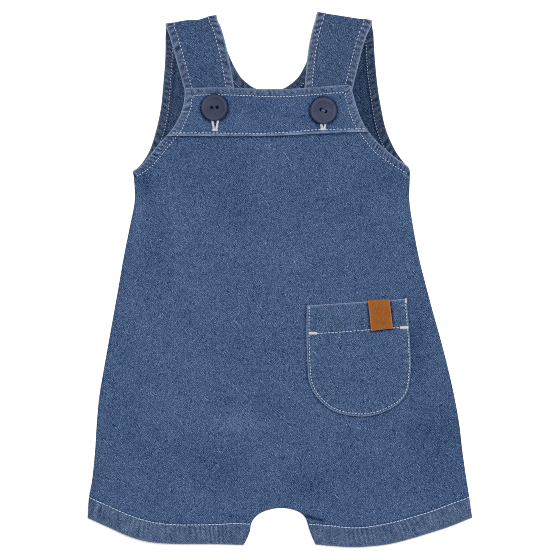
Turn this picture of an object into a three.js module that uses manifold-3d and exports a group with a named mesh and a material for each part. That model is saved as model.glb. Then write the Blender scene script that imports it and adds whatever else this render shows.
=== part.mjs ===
// Kids dungarees: short bib overalls in blue denim, laid flat with the front up.
//
// Frame: millimetres. +X is the viewer's right, +Y runs from the leg hems to the shoulders, +Z is up, away from
// the surface that the garment lies on. The origin is the middle of the garment's box, on that surface.
//
// How it is made: the back panel lies flat on the surface. Its two wide straps are cut in one with it, fold over
// at the shoulders and come down in front, behind the bib. The front panel lies on the back panel and meets it at
// the side seams and the crotch. A band is lapped over the top of the front panel and makes the bib. Two buttons,
// sewn on the straps, come through upright buttonholes in the band. A patch pocket lies on the front panel, with a
// leather tab folded over its mouth. The leg hems are turned up inside, so the cloth is double there.

import * as THREE from 'three';
import { mergeVertices } from 'three/addons/utils/BufferGeometryUtils.js';
import Module from 'manifold-3d';

const wasm = await Module();
wasm.setup();

// ---------------------------------------------------------------- sizes

const CLOTH = 1.0;          // thickness of one layer of denim
const GAP = 0.3;            // clearance between pieces that lie on each other
const FRONT_REST = CLOTH + GAP;  // underside of the front panel at the side seams
const CROWN = 2.2;          // how far the front panel stands off the back in the middle of the body
const CROWN_RUN = 38;       // distance from a seam over which it rises
const HEM_DOUBLE = 1.0;     // the turned layer inside each leg hem
const HEM_RISE_RUN = 16;    // the front panel rises over this much cloth to pass over the doubled hem
const BIB_REST = 1.6;       // underside of the front panel where the band is lapped on
const BAND_REST = 2.9;      // underside of the band, over the straps
const LAP_TOP = 119.2;      // top edge of the front panel, hidden under the band
const GRID = 10;            // spacing of the front panel's sections

const FOLD_RADIUS = 1.45;   // middle line of the strap's fold at the shoulder
const STRAP_REST = CLOTH + GAP + CLOTH / 2;  // middle line of the strap behind the bib
const STRAP_RUN = 34;       // the strap settles from the fold to its rest over this length
const STRAP_ACROSS = 6;

const BUTTON_RADIUS = 10.75;
const BUTTON_STAND = 0.6;   // gap between the band and the button, filled by the thread
const BUTTON_HOLE_RADIUS = 0.95;
const BUTTON_HOLE_OFFSET = 2.2;
const BUTTONHOLE_LENGTH = 21.0;
const BUTTONHOLE_WIDTH = 2.2;

const POCKET_GRID = 7;
const POCKET_MOUTH = 1.45;  // how far the pocket's mouth stands open
const POCKET_MOUTH_RUN = 16;
const TAB_LEATHER = 1.0;
const TAB_BACK_LEG = 5.5;   // length of the tab inside the pocket's mouth
const TAB_LIFT = 0.3;       // the stiff tab stands this far off where the pocket bends under it

// ---------------------------------------------------------------- sections of the garment

// Side seams, from the hem corners up to the underarm corners.
const SIDES = [
  { y: -186.2, left: -150.0, right: 150.0 },
  { y: -172.0, left: -149.2, right: 148.0 },
  { y: -156.4, left: -146.6, right: 145.6 },
  { y: -134.6, left: -144.4, right: 142.5 },
  { y: -112.7, left: -143.0, right: 139.9 },
  { y: -90.9, left: -141.0, right: 136.0 },
  { y: -69.0, left: -137.3, right: 131.1 },
  { y: -47.2, left: -133.4, right: 125.5 },
  { y: -25.4, left: -129.5, right: 119.4 },
  { y: -3.5, left: -125.6, right: 113.6 },
  { y: 18.3, left: -121.8, right: 108.2 },
  { y: 40.2, left: -117.4, right: 104.1 },
  { y: 62.0, left: -113.3, right: 101.0 },
  { y: 79.2, left: -114.0, right: 101.4 },
  { y: 84.6, left: -114.9, right: 101.5 },
];

// Front armholes, from the underarm corners up to the bib's corners.
const FRONT_ARM = [
  { y: 84.6, left: -114.9, right: 101.5 },
  { y: 89.3, left: -108.3, right: 98.0 },
  { y: 94.8, left: -103.5, right: 90.7 },
  { y: 101.0, left: -98.6, right: 83.1 },
  { y: 107.3, left: -93.3, right: 76.2 },
  { y: 115.8, left: -85.4, right: 68.8 },
  { y: 124.4, left: -79.8, right: 63.8 },
  { y: 134.6, left: -75.9, right: 59.9 },
  { y: 143.1, left: -74.5, right: 57.5 },
  { y: 149.6, left: -74.7, right: 55.6 },
];

// Outer edges of the back panel and its straps, from the underarm corners up to the shoulder folds.
const BACK_ARM = [
  { y: 84.6, left: -114.7, right: 101.3 },
  { y: 91.5, left: -107.4, right: 96.5 },
  { y: 101.0, left: -101.6, right: 89.8 },
  { y: 116.6, left: -96.6, right: 82.9 },
  { y: 133.0, left: -93.1, right: 79.1 },
  { y: 151.0, left: -91.2, right: 76.2 },
  { y: 173.6, left: -89.5, right: 74.0 },
  { y: 195.0, left: -89.3, right: 72.8 },
];

// Neckline of the back panel, from its lowest point up to the inner ends of the shoulder folds.
const NECK = [
  { y: 146.6, left: -9.5, right: -6.9 },
  { y: 149.0, left: -18.7, right: 2.3 },
  { y: 152.5, left: -24.6, right: 8.2 },
  { y: 157.2, left: -30.0, right: 13.6 },
  { y: 161.9, left: -33.3, right: 16.8 },
  { y: 171.2, left: -38.1, right: 21.3 },
  { y: 182.0, left: -42.3, right: 23.9 },
  { y: 200.0, left: -47.6, right: 27.3 },
];

// Leg hems: bottom edge, and the stitched line that holds the turned cloth.
const HEM_LEFT = [
  { x: -150.0, edge: -186.0, stitch: -169.4 },
  { x: -134.0, edge: -193.1, stitch: -176.6 },
  { x: -118.0, edge: -200.1, stitch: -183.6 },
  { x: -103.0, edge: -204.4, stitch: -188.5 },
  { x: -85.0, edge: -206.0, stitch: -191.0 },
  { x: -52.0, edge: -206.3, stitch: -191.1 },
  { x: -36.0, edge: -206.8, stitch: -190.3 },
  { x: -20.0, edge: -207.2, stitch: -190.9 },
];
const HEM_RIGHT = [
  { x: 20.0, edge: -205.8, stitch: -190.8 },
  { x: 38.0, edge: -207.6, stitch: -191.9 },
  { x: 56.0, edge: -208.6, stitch: -193.6 },
  { x: 70.0, edge: -208.0, stitch: -192.7 },
  { x: 86.0, edge: -206.0, stitch: -189.8 },
  { x: 102.0, edge: -202.0, stitch: -185.6 },
  { x: 118.0, edge: -197.2, stitch: -180.8 },
  { x: 134.0, edge: -192.0, stitch: -174.8 },
  { x: 150.0, edge: -185.6, stitch: -168.8 },
];

// Arch between the legs, from the hems up to its crown.
const ARCH = [
  { y: -207.2, left: -28.4, right: 28.0 },
  { y: -201.0, left: -25.2, right: 25.2 },
  { y: -195.5, left: -23.3, right: 23.1 },
  { y: -191.0, left: -22.6, right: 21.8 },
  { y: -187.5, left: -21.0, right: 20.7 },
  { y: -184.5, left: -18.4, right: 18.9 },
  { y: -182.0, left: -14.9, right: 16.0 },
  { y: -180.2, left: -10.6, right: 12.2 },
  { y: -179.0, left: -5.8, right: 7.8 },
];

// The straps in front, from the shoulder fold down to the end behind the bib: outer and inner edge.
const STRAP_LEFT = [
  { outerX: -89.2, outerY: 199.7, innerX: -49.5, innerY: 206.4 },
  { outerX: -84.6, outerY: 184.0, innerX: -44.0, innerY: 190.0 },
  { outerX: -79.9, outerY: 167.0, innerX: -39.4, innerY: 170.5 },
  { outerX: -75.2, outerY: 150.0, innerX: -36.2, innerY: 152.0 },
  { outerX: -71.0, outerY: 134.5, innerX: -33.6, innerY: 136.0 },
  { outerX: -67.2, outerY: 120.6, innerX: -31.2, innerY: 121.6 },
];
const STRAP_RIGHT = [
  { outerX: 71.9, outerY: 201.7, innerX: 28.8, innerY: 208.6 },
  { outerX: 65.5, outerY: 184.0, innerX: 23.6, innerY: 187.0 },
  { outerX: 61.0, outerY: 166.5, innerX: 20.8, innerY: 168.0 },
  { outerX: 57.0, outerY: 150.0, innerX: 19.2, innerY: 151.0 },
  { outerX: 54.0, outerY: 136.0, innerX: 17.6, innerY: 136.0 },
  { outerX: 51.0, outerY: 121.4, innerX: 15.8, innerY: 120.6 },
];

// The bib band: top edge and lower edge, from the left armhole to the right one.
const BAND = [
  { x: -92.0, top: 149.2, low: 112.4 },
  { x: -73.0, top: 149.3, low: 112.6 },
  { x: -55.0, top: 149.8, low: 112.6 },
  { x: -37.0, top: 149.7, low: 112.5 },
  { x: -17.0, top: 148.7, low: 112.6 },
  { x: 4.0, top: 148.7, low: 113.2 },
  { x: 20.0, top: 149.4, low: 114.0 },
  { x: 39.0, top: 150.9, low: 115.0 },
  { x: 52.0, top: 151.6, low: 115.6 },
  { x: 74.0, top: 152.0, low: 115.8 },
];

// The pocket's outline, from the left end of its mouth down, round its rounded bottom and up to the right end.
const POCKET = [
  { x: 20.8, y: -20.3 },
  { x: 20.5, y: -41.7 },
  { x: 21.4, y: -67.5 },
  { x: 23.2, y: -82.0 },
  { x: 30.2, y: -93.4 },
  { x: 42.0, y: -102.6 },
  { x: 63.0, y: -106.8 },
  { x: 79.0, y: -104.0 },
  { x: 92.0, y: -97.0 },
  { x: 99.0, y: -87.8 },
  { x: 101.6, y: -74.5 },
  { x: 101.8, y: -59.7 },
  { x: 100.6, y: -37.1 },
  { x: 98.5, y: -15.0 },
];

// The leather tab: the two ends of its fold over the mouth and of its lower edge.
const TAB = { topLeft: [68.4, -15.4], topRight: [85.1, -14.4], lowLeft: [70.8, -40.3], lowRight: [88.2, -38.7] };

// Buttons: centre, and the turn of the line through the two holes.
const BUTTONS = [
  { name: 'button_left', x: -51.2, y: 134.0, turn: 4 },
  { name: 'button_right', x: 33.8, y: 131.6, turn: -27 },
];
// Buttonholes: lower end of each, under its button.
const BUTTONHOLES = [
  { x: -50.8, low: 116.0 },
  { x: 33.6, low: 117.0 },
];

// ---------------------------------------------------------------- materials

const denim = new THREE.MeshStandardMaterial({ color: 0x4a6796, roughness: 0.92, metalness: 0 });
const bandDenim = new THREE.MeshStandardMaterial({ color: 0x50709e, roughness: 0.92, metalness: 0 });
const plastic = new THREE.MeshStandardMaterial({ color: 0x474860, roughness: 0.5, metalness: 0 });
const leather = new THREE.MeshStandardMaterial({ color: 0xa8622c, roughness: 0.6, metalness: 0 });

// ---------------------------------------------------------------- curves

const smooth = (t) => { const c = Math.min(1, Math.max(0, t)); return c * c * (3 - 2 * c); };
const mix = (a, b, t) => a + (b - a) * t;

// A smooth function through one column of a table, by its key column.
function column(rows, key, value) {
  const k = rows.map((r) => r[key]), v = rows.map((r) => r[value]);
  const n = k.length, slope = [];
  for (let i = 0; i < n; i++) {
    const a = Math.max(0, i - 1), b = Math.min(n - 1, i + 1);
    slope.push((v[b] - v[a]) / (k[b] - k[a]));
  }
  return (q) => {
    if (q <= k[0]) return v[0];
    if (q >= k[n - 1]) return v[n - 1];
    let i = 0;
    while (q > k[i + 1]) i++;
    const h = k[i + 1] - k[i], t = (q - k[i]) / h, t2 = t * t, t3 = t2 * t;
    return (2 * t3 - 3 * t2 + 1) * v[i] + (t3 - 2 * t2 + t) * h * slope[i]
      + (3 * t2 - 2 * t3) * v[i + 1] + (t3 - t2) * h * slope[i + 1];
  };
}

const sideL = column(SIDES, 'y', 'left'), sideR = column(SIDES, 'y', 'right');
const frontArmL = column(FRONT_ARM, 'y', 'left'), frontArmR = column(FRONT_ARM, 'y', 'right');
const backArmL = column(BACK_ARM, 'y', 'left'), backArmR = column(BACK_ARM, 'y', 'right');
const neckL = column(NECK, 'y', 'left'), neckR = column(NECK, 'y', 'right');
const archL = column(ARCH, 'y', 'left'), archR = column(ARCH, 'y', 'right');
const hemEdgeL = column(HEM_LEFT, 'x', 'edge'), hemEdgeR = column(HEM_RIGHT, 'x', 'edge');
const hemStitchL = column(HEM_LEFT, 'x', 'stitch'), hemStitchR = column(HEM_RIGHT, 'x', 'stitch');
const bandTop = column(BAND, 'x', 'top'), bandLow = column(BAND, 'x', 'low');

// Points from one key to another along a column, as [x, y].
function walkY(fn, from, to, parts) {
  return Array.from({ length: parts + 1 }, (_, i) => { const y = mix(from, to, i / parts); return [fn(y), y]; });
}
function walkX(fn, from, to, parts) {
  return Array.from({ length: parts + 1 }, (_, i) => { const x = mix(from, to, i / parts); return [x, fn(x)]; });
}
// Joins runs of points and drops repeats.
function join(...runs) {
  const out = [];
  for (const p of runs.flat()) {
    const q = out[out.length - 1];
    if (!q || Math.hypot(p[0] - q[0], p[1] - q[1]) > 0.4) out.push(p);
  }
  const a = out[0], b = out[out.length - 1];
  if (Math.hypot(a[0] - b[0], a[1] - b[1]) <= 0.4) out.pop();
  return out;
}

// The edge from the left hem corner, along both hems and round the arch, to the right hem corner.
function legEdges() {
  const up = ARCH[ARCH.length - 1].y;
  const crownOfArch = Array.from({ length: 5 }, (_, i) => {
    const t = i / 4, x = mix(archL(up), archR(up), t);
    return [x, up + 0.7 * 4 * t * (1 - t)];
  });
  return join(
    walkX(hemEdgeL, -150, -28.4, 18),
    walkY(archL, -206.6, up, 12),
    crownOfArch,
    walkY(archR, up, -206.4, 12),
    walkX(hemEdgeR, 28, 150, 18),
  );
}

// ---------------------------------------------------------------- heights

// Distance from the nearest seam: the side seams, and the arch between the legs.
const archPoints = [...walkY(archL, -208, -179, 14), ...walkY(archR, -179, -208, 14)];
function seamDistance(x, y) {
  const yy = Math.min(y, 84.6);
  let d = Math.min(x - sideL(yy), sideR(yy) - x);
  for (const [px, py] of archPoints) d = Math.min(d, Math.hypot(x - px, y - py));
  return Math.max(0, d);
}
const hemLine = (x) => (x < 0 ? hemStitchL(x) : hemStitchR(x));
// Share of the hem's rise at a point: one over the doubled cloth, none a little above it.
const hemRise = (x, y) => smooth((hemLine(x) + HEM_RISE_RUN - y) / (HEM_RISE_RUN - 2));

// Underside of the front panel.
function frontLow(x, y) {
  const rise = hemRise(x, y);
  const crown = CROWN * smooth(seamDistance(x, y) / CROWN_RUN) * smooth((114 - y) / 46) * (1 - 0.35 * rise);
  const bib = (BIB_REST - FRONT_REST) * smooth((y - 76) / 34);
  return FRONT_REST + bib + crown + 2 * HEM_DOUBLE * rise;
}
const frontTop = (x, y) => frontLow(x, y) + CLOTH;

// The pocket's mouth: a line from its left to its right end.
const mouthA = POCKET[0], mouthB = POCKET[POCKET.length - 1];
const mouthLength = Math.hypot(mouthB.x - mouthA.x, mouthB.y - mouthA.y);
const mouthX = (mouthB.x - mouthA.x) / mouthLength, mouthY = (mouthB.y - mouthA.y) / mouthLength;
function pocketLow(x, y) {
  const along = (x - mouthA.x) * mouthX + (y - mouthA.y) * mouthY;
  const below = (x - mouthA.x) * mouthY - (y - mouthA.y) * mouthX;
  const open = smooth(along / 24) * smooth((mouthLength - along) / 10) * (1 - smooth((below - 7) / POCKET_MOUTH_RUN));
  return frontTop(x, y) + GAP + POCKET_MOUTH * open;
}
const pocketTop = (x, y) => pocketLow(x, y) + CLOTH;

// ---------------------------------------------------------------- solids

// A closed three.js geometry as a solid.
function solid(geometry) {
  const g = geometry.index ? geometry.toNonIndexed() : geometry.clone();
  g.deleteAttribute('normal');
  g.deleteAttribute('uv');
  const m = mergeVertices(g, 1e-4);
  return new wasm.Manifold(new wasm.Mesh({
    numProp: 3,
    vertProperties: new Float32Array(m.attributes.position.array),
    triVerts: new Uint32Array(m.index.array),
  }));
}

// A solid as a named mesh.
function mesh(name, body, material) {
  const out = body.getMesh();
  const g = new THREE.BufferGeometry();
  g.setAttribute('position', new THREE.BufferAttribute(new Float32Array(out.vertProperties), 3));
  g.setIndex(Array.from(out.triVerts));
  g.computeVertexNormals();
  const m = new THREE.Mesh(g, material);
  m.name = name;
  return m;
}

// An outline raised from one height to another.
function prism(points, low, high) {
  const shape = new THREE.Shape(points.map(([x, y]) => new THREE.Vector2(x, y)));
  const g = new THREE.ExtrudeGeometry(shape, { depth: high - low, bevelEnabled: false, curveSegments: 1 });
  g.translate(0, 0, low);
  return solid(g);
}

// A closed body from two matching grids of points, the upper and the lower face.
function body(upper, lower) {
  const rows = upper.length, cols = upper[0].length, pos = [], idx = [];
  for (const grid of [upper, lower]) for (const row of grid) for (const p of row) pos.push(p.x, p.y, p.z);
  const up = (i, j) => i * cols + j, lo = (i, j) => rows * cols + i * cols + j;
  const quad = (a, b, c, d) => idx.push(a, b, c, a, c, d);
  for (let i = 0; i < rows - 1; i++) for (let j = 0; j < cols - 1; j++) {
    quad(up(i, j), up(i, j + 1), up(i + 1, j + 1), up(i + 1, j));
    quad(lo(i, j), lo(i + 1, j), lo(i + 1, j + 1), lo(i, j + 1));
  }
  for (let j = 0; j < cols - 1; j++) {
    quad(lo(0, j), lo(0, j + 1), up(0, j + 1), up(0, j));
    quad(up(rows - 1, j), up(rows - 1, j + 1), lo(rows - 1, j + 1), lo(rows - 1, j));
  }
  for (let i = 0; i < rows - 1; i++) {
    quad(up(i, 0), up(i + 1, 0), lo(i + 1, 0), lo(i, 0));
    quad(lo(i, cols - 1), lo(i + 1, cols - 1), up(i + 1, cols - 1), up(i, cols - 1));
  }
  const g = new THREE.BufferGeometry();
  g.setAttribute('position', new THREE.BufferAttribute(new Float32Array(pos), 3));
  g.setIndex(idx);
  return g;
}

// Cloth between two heights over a box, in square sections.
function relief([x0, y0, x1, y1], step, low, high) {
  const nx = Math.ceil((x1 - x0) / step), ny = Math.ceil((y1 - y0) / step);
  const grid = (fn) => Array.from({ length: ny + 1 }, (_, i) => Array.from({ length: nx + 1 }, (_, j) => {
    const x = mix(x0, x1, j / nx), y = mix(y0, y1, i / ny);
    return new THREE.Vector3(x, y, fn(x, y));
  }));
  return solid(body(grid(high), grid(low)));
}

// A ribbon of even thickness about a grid of middle points, rows along it and columns across.
function ribbon(middle, thickness) {
  const rows = middle.length, cols = middle[0].length;
  const face = (side) => middle.map((row, i) => row.map((p, j) => {
    const a = middle[Math.max(0, i - 1)][j], b = middle[Math.min(rows - 1, i + 1)][j];
    const c = row[Math.max(0, j - 1)], d = row[Math.min(cols - 1, j + 1)];
    const n = new THREE.Vector3().crossVectors(d.clone().sub(c), b.clone().sub(a)).normalize();
    return p.clone().addScaledVector(n, side * thickness / 2);
  }));
  return solid(body(face(1), face(-1)));
}

// ---------------------------------------------------------------- back panel with its straps

// A point of a front strap, from its table: t runs from 0 at the fold to 1 at the end, w from outer to inner edge.
function strapPoint(rows, t, w) {
  const n = rows.length - 1, keyed = rows.map((r, i) => ({ k: i / n, ...r }));
  const at = (c) => column(keyed, 'k', c)(t);
  return [mix(at('outerX'), at('innerX'), w), mix(at('outerY'), at('innerY'), w)];
}

// A strap: a short lap inside the back panel, the fold at the shoulder, and the front strap down behind the bib.
function strap(rows) {
  const first = rows[0], last = rows[rows.length - 1];
  const foldX = first.innerX - first.outerX, foldY = first.innerY - first.outerY, foldL = Math.hypot(foldX, foldY);
  const side = Math.sign(foldX);
  // unit vector down the garment, square to the fold
  const downX = side * foldY / foldL, downY = -side * foldX / foldL;
  const length = Math.hypot((last.outerX + last.innerX - first.outerX - first.innerX) / 2,
    (last.outerY + last.innerY - first.outerY - first.innerY) / 2);
  const back = FOLD_RADIUS + CLOTH / 2;       // the fold's middle lies this far inside the shoulder edge
  const stations = [];
  for (const a of [back + 4, back + 2]) stations.push({ a, z: CLOTH / 2, front: false });
  for (let i = 0; i <= 10; i++) {
    const q = -Math.PI / 2 + Math.PI * i / 10;
    stations.push({ a: back - FOLD_RADIUS * Math.cos(q), z: CLOTH / 2 + FOLD_RADIUS + FOLD_RADIUS * Math.sin(q), front: i > 5 });
  }
  const top = CLOTH / 2 + 2 * FOLD_RADIUS;
  for (let i = 1; i <= 12; i++) {
    const a = mix(back, length, i / 12);
    stations.push({ a, z: mix(top, STRAP_REST, smooth((a - back) / STRAP_RUN)), front: true });
  }
  const middle = stations.map(({ a, z, front }) => Array.from({ length: STRAP_ACROSS + 1 }, (_, j) => {
    const w = j / STRAP_ACROSS;
    const bow = 0.9 * 4 * w * (1 - w);        // the shoulder edge bows out a little
    const inner = smooth(a / 20);
    let x, y;
    if (a <= back + 4.1 && !(front && a > back)) {
      x = mix(first.outerX, first.innerX, w) + downX * a;
      y = mix(first.outerY, first.innerY, w) + downY * a;
    } else {
      [x, y] = strapPoint(rows, a / length, w);
      const s = smooth((a - back) / 8);
      x = mix(mix(first.outerX, first.innerX, w) + downX * a, x, s);
      y = mix(mix(first.outerY, first.innerY, w) + downY * a, y, s);
    }
    return new THREE.Vector3(x - downX * bow * (1 - inner), y - downY * bow * (1 - inner), z);
  }));
  if (side > 0) for (const row of middle) row.reverse();
  return ribbon(middle, CLOTH);
}

function backPanel() {
  const foldCut = (rows) => {
    const r = rows[0], L = Math.hypot(r.innerX - r.outerX, r.innerY - r.outerY), s = Math.sign(r.innerX - r.outerX);
    const dx = s * (r.innerY - r.outerY) / L, dy = -s * (r.innerX - r.outerX) / L, a = FOLD_RADIUS + CLOTH / 2;
    return { outer: [r.outerX + dx * a, r.outerY + dy * a], inner: [r.innerX + dx * a, r.innerY + dy * a] };
  };
  const L = foldCut(STRAP_LEFT), R = foldCut(STRAP_RIGHT);
  const outline = join(
    legEdges(),
    walkY(sideR, -185.6, 84.6, 26),
    walkY(backArmR, 84.6, 195, 16),
    [R.outer, R.inner],
    walkY(neckR, 200, 146.6, 14),
    walkY(neckL, 146.6, 200, 14),
    [L.inner, L.outer],
    walkY(backArmL, 195, 84.6, 16),
    walkY(sideL, 84.6, -186, 26),
  );
  const flat = prism(outline, 0, CLOTH);
  return flat.add(strap(STRAP_LEFT)).add(strap(STRAP_RIGHT)).add(turnedHems(() => CLOTH - 0.2, () => CLOTH + HEM_DOUBLE, 150));
}

// ---------------------------------------------------------------- hems and front panel

// The cloth turned up inside the two leg hems, between two heights.
function turnedHems(low, high, step) {
  const edge = legEdges();
  const whole = join(edge, walkY(sideR, -185.6, -150, 4), [[0, -150]], walkY(sideL, -150, -186, 4));
  const band = (edgeFn, stitchFn, x0, x1) => join(
    walkX((x) => edgeFn(x) - 1, x0, x1, 16), walkX((x) => stitchFn(x) + 0.6, x1, x0, 16));
  const region = prism(band(hemEdgeL, hemStitchL, -150.6, -18), -4, 20)
    .add(prism(band(hemEdgeR, hemStitchR, 18, 150.6), -4, 20))
    .intersect(prism(whole, -4, 20));
  return relief([-151, -209, 151, -164], step, low, high).intersect(region);
}

function frontPanel() {
  const outline = join(
    legEdges(),
    walkY(sideR, -185.6, 84.6, 26),
    walkY(frontArmR, 84.6, LAP_TOP, 10),
    walkY(frontArmL, LAP_TOP, 84.6, 10),
    walkY(sideL, 84.6, -186, 26),
  );
  const panel = relief([-151, -209, 151, LAP_TOP + 1], GRID, frontLow, frontTop).intersect(prism(outline, -4, 20));
  const turned = turnedHems((x, y) => frontLow(x, y) - HEM_DOUBLE, (x, y) => frontLow(x, y) + 0.2, GRID);
  return panel.add(turned);
}

// ---------------------------------------------------------------- bib band with buttonholes

function bibBand() {
  const topL = 149.2, topR = 151.4, lowL = bandLow(-84), lowR = bandLow(66);
  const outline = join(
    walkX(bandLow, frontArmL(lowL), frontArmR(lowR), 20),
    walkY(frontArmR, lowR, 149.6, 12),
    walkX(bandTop, 54.4, -73.4, 18),
    walkY(frontArmL, 149.0, lowL, 12),
  );
  let bandSolid = prism(outline, BAND_REST, BAND_REST + CLOTH);
  for (const h of BUTTONHOLES) {
    const w = BUTTONHOLE_WIDTH / 2, L = BUTTONHOLE_LENGTH;
    const slit = [[h.x, h.low], [h.x + w, h.low + 0.35 * L], [h.x + w, h.low + 0.8 * L], [h.x, h.low + L],
      [h.x - w, h.low + 0.8 * L], [h.x - w, h.low + 0.35 * L]];
    bandSolid = bandSolid.subtract(prism(slit, BAND_REST - 2, BAND_REST + CLOTH + 2));
  }
  return bandSolid;
}

// ---------------------------------------------------------------- pocket and leather tab

function pocketPanel() {
  const curve = new THREE.CatmullRomCurve3(POCKET.map((p) => new THREE.Vector3(p.x, p.y, 0)), false, 'centripetal');
  const outline = curve.getPoints(44).map((p) => [p.x, p.y]);
  return relief([19, -108, 104, -14], POCKET_GRID, pocketLow, pocketTop).intersect(prism(outline, -4, 20));
}

// The tab: a short leg inside the mouth, a fold round the mouth's edge, and the long leg on the pocket.
function tabStrip() {
  const inner = CLOTH / 2 + GAP, r = inner + TAB_LEATHER / 2;
  const corner = (w, v) => {
    const a = TAB.topLeft, b = TAB.topRight, c = TAB.lowLeft, d = TAB.lowRight;
    return [mix(mix(a[0], b[0], w), mix(c[0], d[0], w), v), mix(mix(a[1], b[1], w), mix(c[1], d[1], w), v)];
  };
  const length = Math.hypot(TAB.lowLeft[0] - TAB.topLeft[0], TAB.lowLeft[1] - TAB.topLeft[1]);
  const set = r + TAB_LEATHER / 2;             // middle of the fold, down from the tab's top
  const stations = [{ a: set + TAB_BACK_LEG, s: -1 }, { a: set + TAB_BACK_LEG / 2, s: -1 }];
  for (let i = 0; i <= 8; i++) {
    const q = -Math.PI / 2 + Math.PI * i / 8;
    stations.push({ a: set - r * Math.cos(q), s: Math.sin(q) });
  }
  for (let i = 1; i <= 7; i++) stations.push({ a: mix(set, length, i / 7), s: 1 });
  const middle = stations.map(({ a, s }) => Array.from({ length: 4 }, (_, j) => {
    const w = 1 - j / 3, [x, y] = corner(w, a / length);
    const [bx, by] = corner(w, Math.max(a, set) / length);
    const lift = s > 0 ? TAB_LIFT * smooth((a - set) / 8) : 0;
    return new THREE.Vector3(x, y, (pocketLow(bx, by) + pocketTop(bx, by)) / 2 + s * r + lift);
  }));
  return ribbon(middle, TAB_LEATHER);
}

// ---------------------------------------------------------------- buttons

function button() {
  const profile = [
    [0, 0], [8.6, 0], [9.8, 0.35], [BUTTON_RADIUS - 0.15, 1.0], [BUTTON_RADIUS, 1.6], [BUTTON_RADIUS - 0.2, 2.3],
    [9.9, 2.85], [9.1, 3.0], [8.3, 2.85], [7.2, 2.6], [4.5, 2.45], [0, 2.4],
  ].map(([x, y]) => new THREE.Vector2(x, y));
  const disc = new THREE.LatheGeometry(profile, 40);
  disc.rotateX(Math.PI / 2);
  let b = solid(disc);
  for (const s of [-1, 1]) {
    const hole = new THREE.CylinderGeometry(BUTTON_HOLE_RADIUS, BUTTON_HOLE_RADIUS, 8, 12);
    hole.rotateX(Math.PI / 2);
    hole.translate(s * BUTTON_HOLE_OFFSET, 0, 1);
    b = b.subtract(solid(hole));
  }
  return b;
}

// ---------------------------------------------------------------- the garment

const group = new THREE.Group();
group.name = 'kids_dungarees';
group.add(mesh('back', backPanel(), denim));
group.add(mesh('front', frontPanel(), denim));
group.add(mesh('bib_band', bibBand(), bandDenim));
group.add(mesh('pocket', pocketPanel(), denim));
group.add(mesh('leather_tab', tabStrip(), leather));
for (const b of BUTTONS) {
  const m = mesh(b.name, button(), plastic);
  m.position.set(b.x, b.y, BAND_REST + CLOTH + BUTTON_STAND);
  m.rotation.z = THREE.MathUtils.degToRad(b.turn);
  group.add(m);
}

export default group;
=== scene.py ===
import math

import bpy
import numpy as np
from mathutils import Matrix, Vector, geometry, kdtree


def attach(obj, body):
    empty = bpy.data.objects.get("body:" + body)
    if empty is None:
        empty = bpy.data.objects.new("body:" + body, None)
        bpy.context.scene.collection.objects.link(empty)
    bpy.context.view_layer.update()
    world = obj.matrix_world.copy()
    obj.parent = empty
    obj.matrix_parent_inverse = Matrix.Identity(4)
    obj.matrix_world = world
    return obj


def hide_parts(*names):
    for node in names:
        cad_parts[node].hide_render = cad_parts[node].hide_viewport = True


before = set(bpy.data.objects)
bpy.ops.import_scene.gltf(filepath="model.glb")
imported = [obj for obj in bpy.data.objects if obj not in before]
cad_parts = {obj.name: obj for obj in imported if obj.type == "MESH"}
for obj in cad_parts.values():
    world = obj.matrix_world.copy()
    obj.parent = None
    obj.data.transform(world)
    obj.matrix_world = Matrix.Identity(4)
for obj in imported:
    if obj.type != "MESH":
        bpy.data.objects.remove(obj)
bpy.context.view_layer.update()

MM = 0.001

# ---------------------------------------------------------------- sizes

T = 0.8              # one layer of denim
HEM = 6.4            # width of the narrow turned hems
BACK_LOW = 0.2       # right side of the back panel, over the threads that touch the surface
BACK_TOP = BACK_LOW + T
CROWN, CROWN_RUN = 2.2, 38.0
FRONT_REST, BIB_REST = 1.3, 1.6
HEM_DOUBLE, HEM_RISE_RUN = 1.0, 16.0
BAND_LOW, BAND_TOP = 3.0, 3.8
LAP_TOP = 119.2
FOLD_RADIUS = 1.45
STRAP_REST, STRAP_RUN = 1.8, 34.0
POCKET_MOUTH, POCKET_MOUTH_RUN, POCKET_HEM = 1.45, 16.0, 21.6
BUTTON_RADIUS = 10.75
PX = 0.78            # millimetres to one pixel of the photograph's 560-pixel frame


def at(points):
    """Points read off the photograph's frame, in millimetres."""
    return np.array([((x - 280) * PX, (279.5 - y) * PX) for x, y in points])


# ---------------------------------------------------------------- sections of the garment

# y, left, right
SIDES = [
    (-186.2, -150.0, 150.0), (-172.0, -149.2, 148.0), (-156.4, -146.6, 145.6), (-134.6, -144.4, 142.5),
    (-112.7, -143.0, 139.9), (-90.9, -141.0, 136.0), (-69.0, -137.3, 131.1), (-47.2, -133.4, 125.5),
    (-25.4, -129.5, 119.4), (-3.5, -125.6, 113.6), (18.3, -121.8, 108.2), (40.2, -117.4, 104.1),
    (62.0, -113.3, 101.0), (79.2, -114.0, 101.4), (84.6, -114.9, 101.5),
]
FRONT_ARM = [
    (84.6, -114.9, 101.5), (87.2, -110.9, 100.5), (89.6, -107.9, 98.2), (94.8, -103.5, 90.7), (101.0, -98.6, 83.1),
    (107.3, -93.3, 76.2),
    (115.8, -85.4, 68.8), (124.4, -79.8, 63.8), (134.6, -75.9, 59.9), (143.1, -74.5, 57.5), (149.6, -74.7, 55.6),
]
BACK_ARM = [
    (84.6, -114.7, 101.3), (87.4, -110.9, 100.2), (91.5, -107.2, 96.5), (101.0, -101.6, 89.8), (116.6, -96.6, 82.9),
    (133.0, -93.1, 79.1),
    (151.0, -91.2, 76.2), (173.6, -89.5, 74.0), (195.0, -89.3, 72.8),
]
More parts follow.
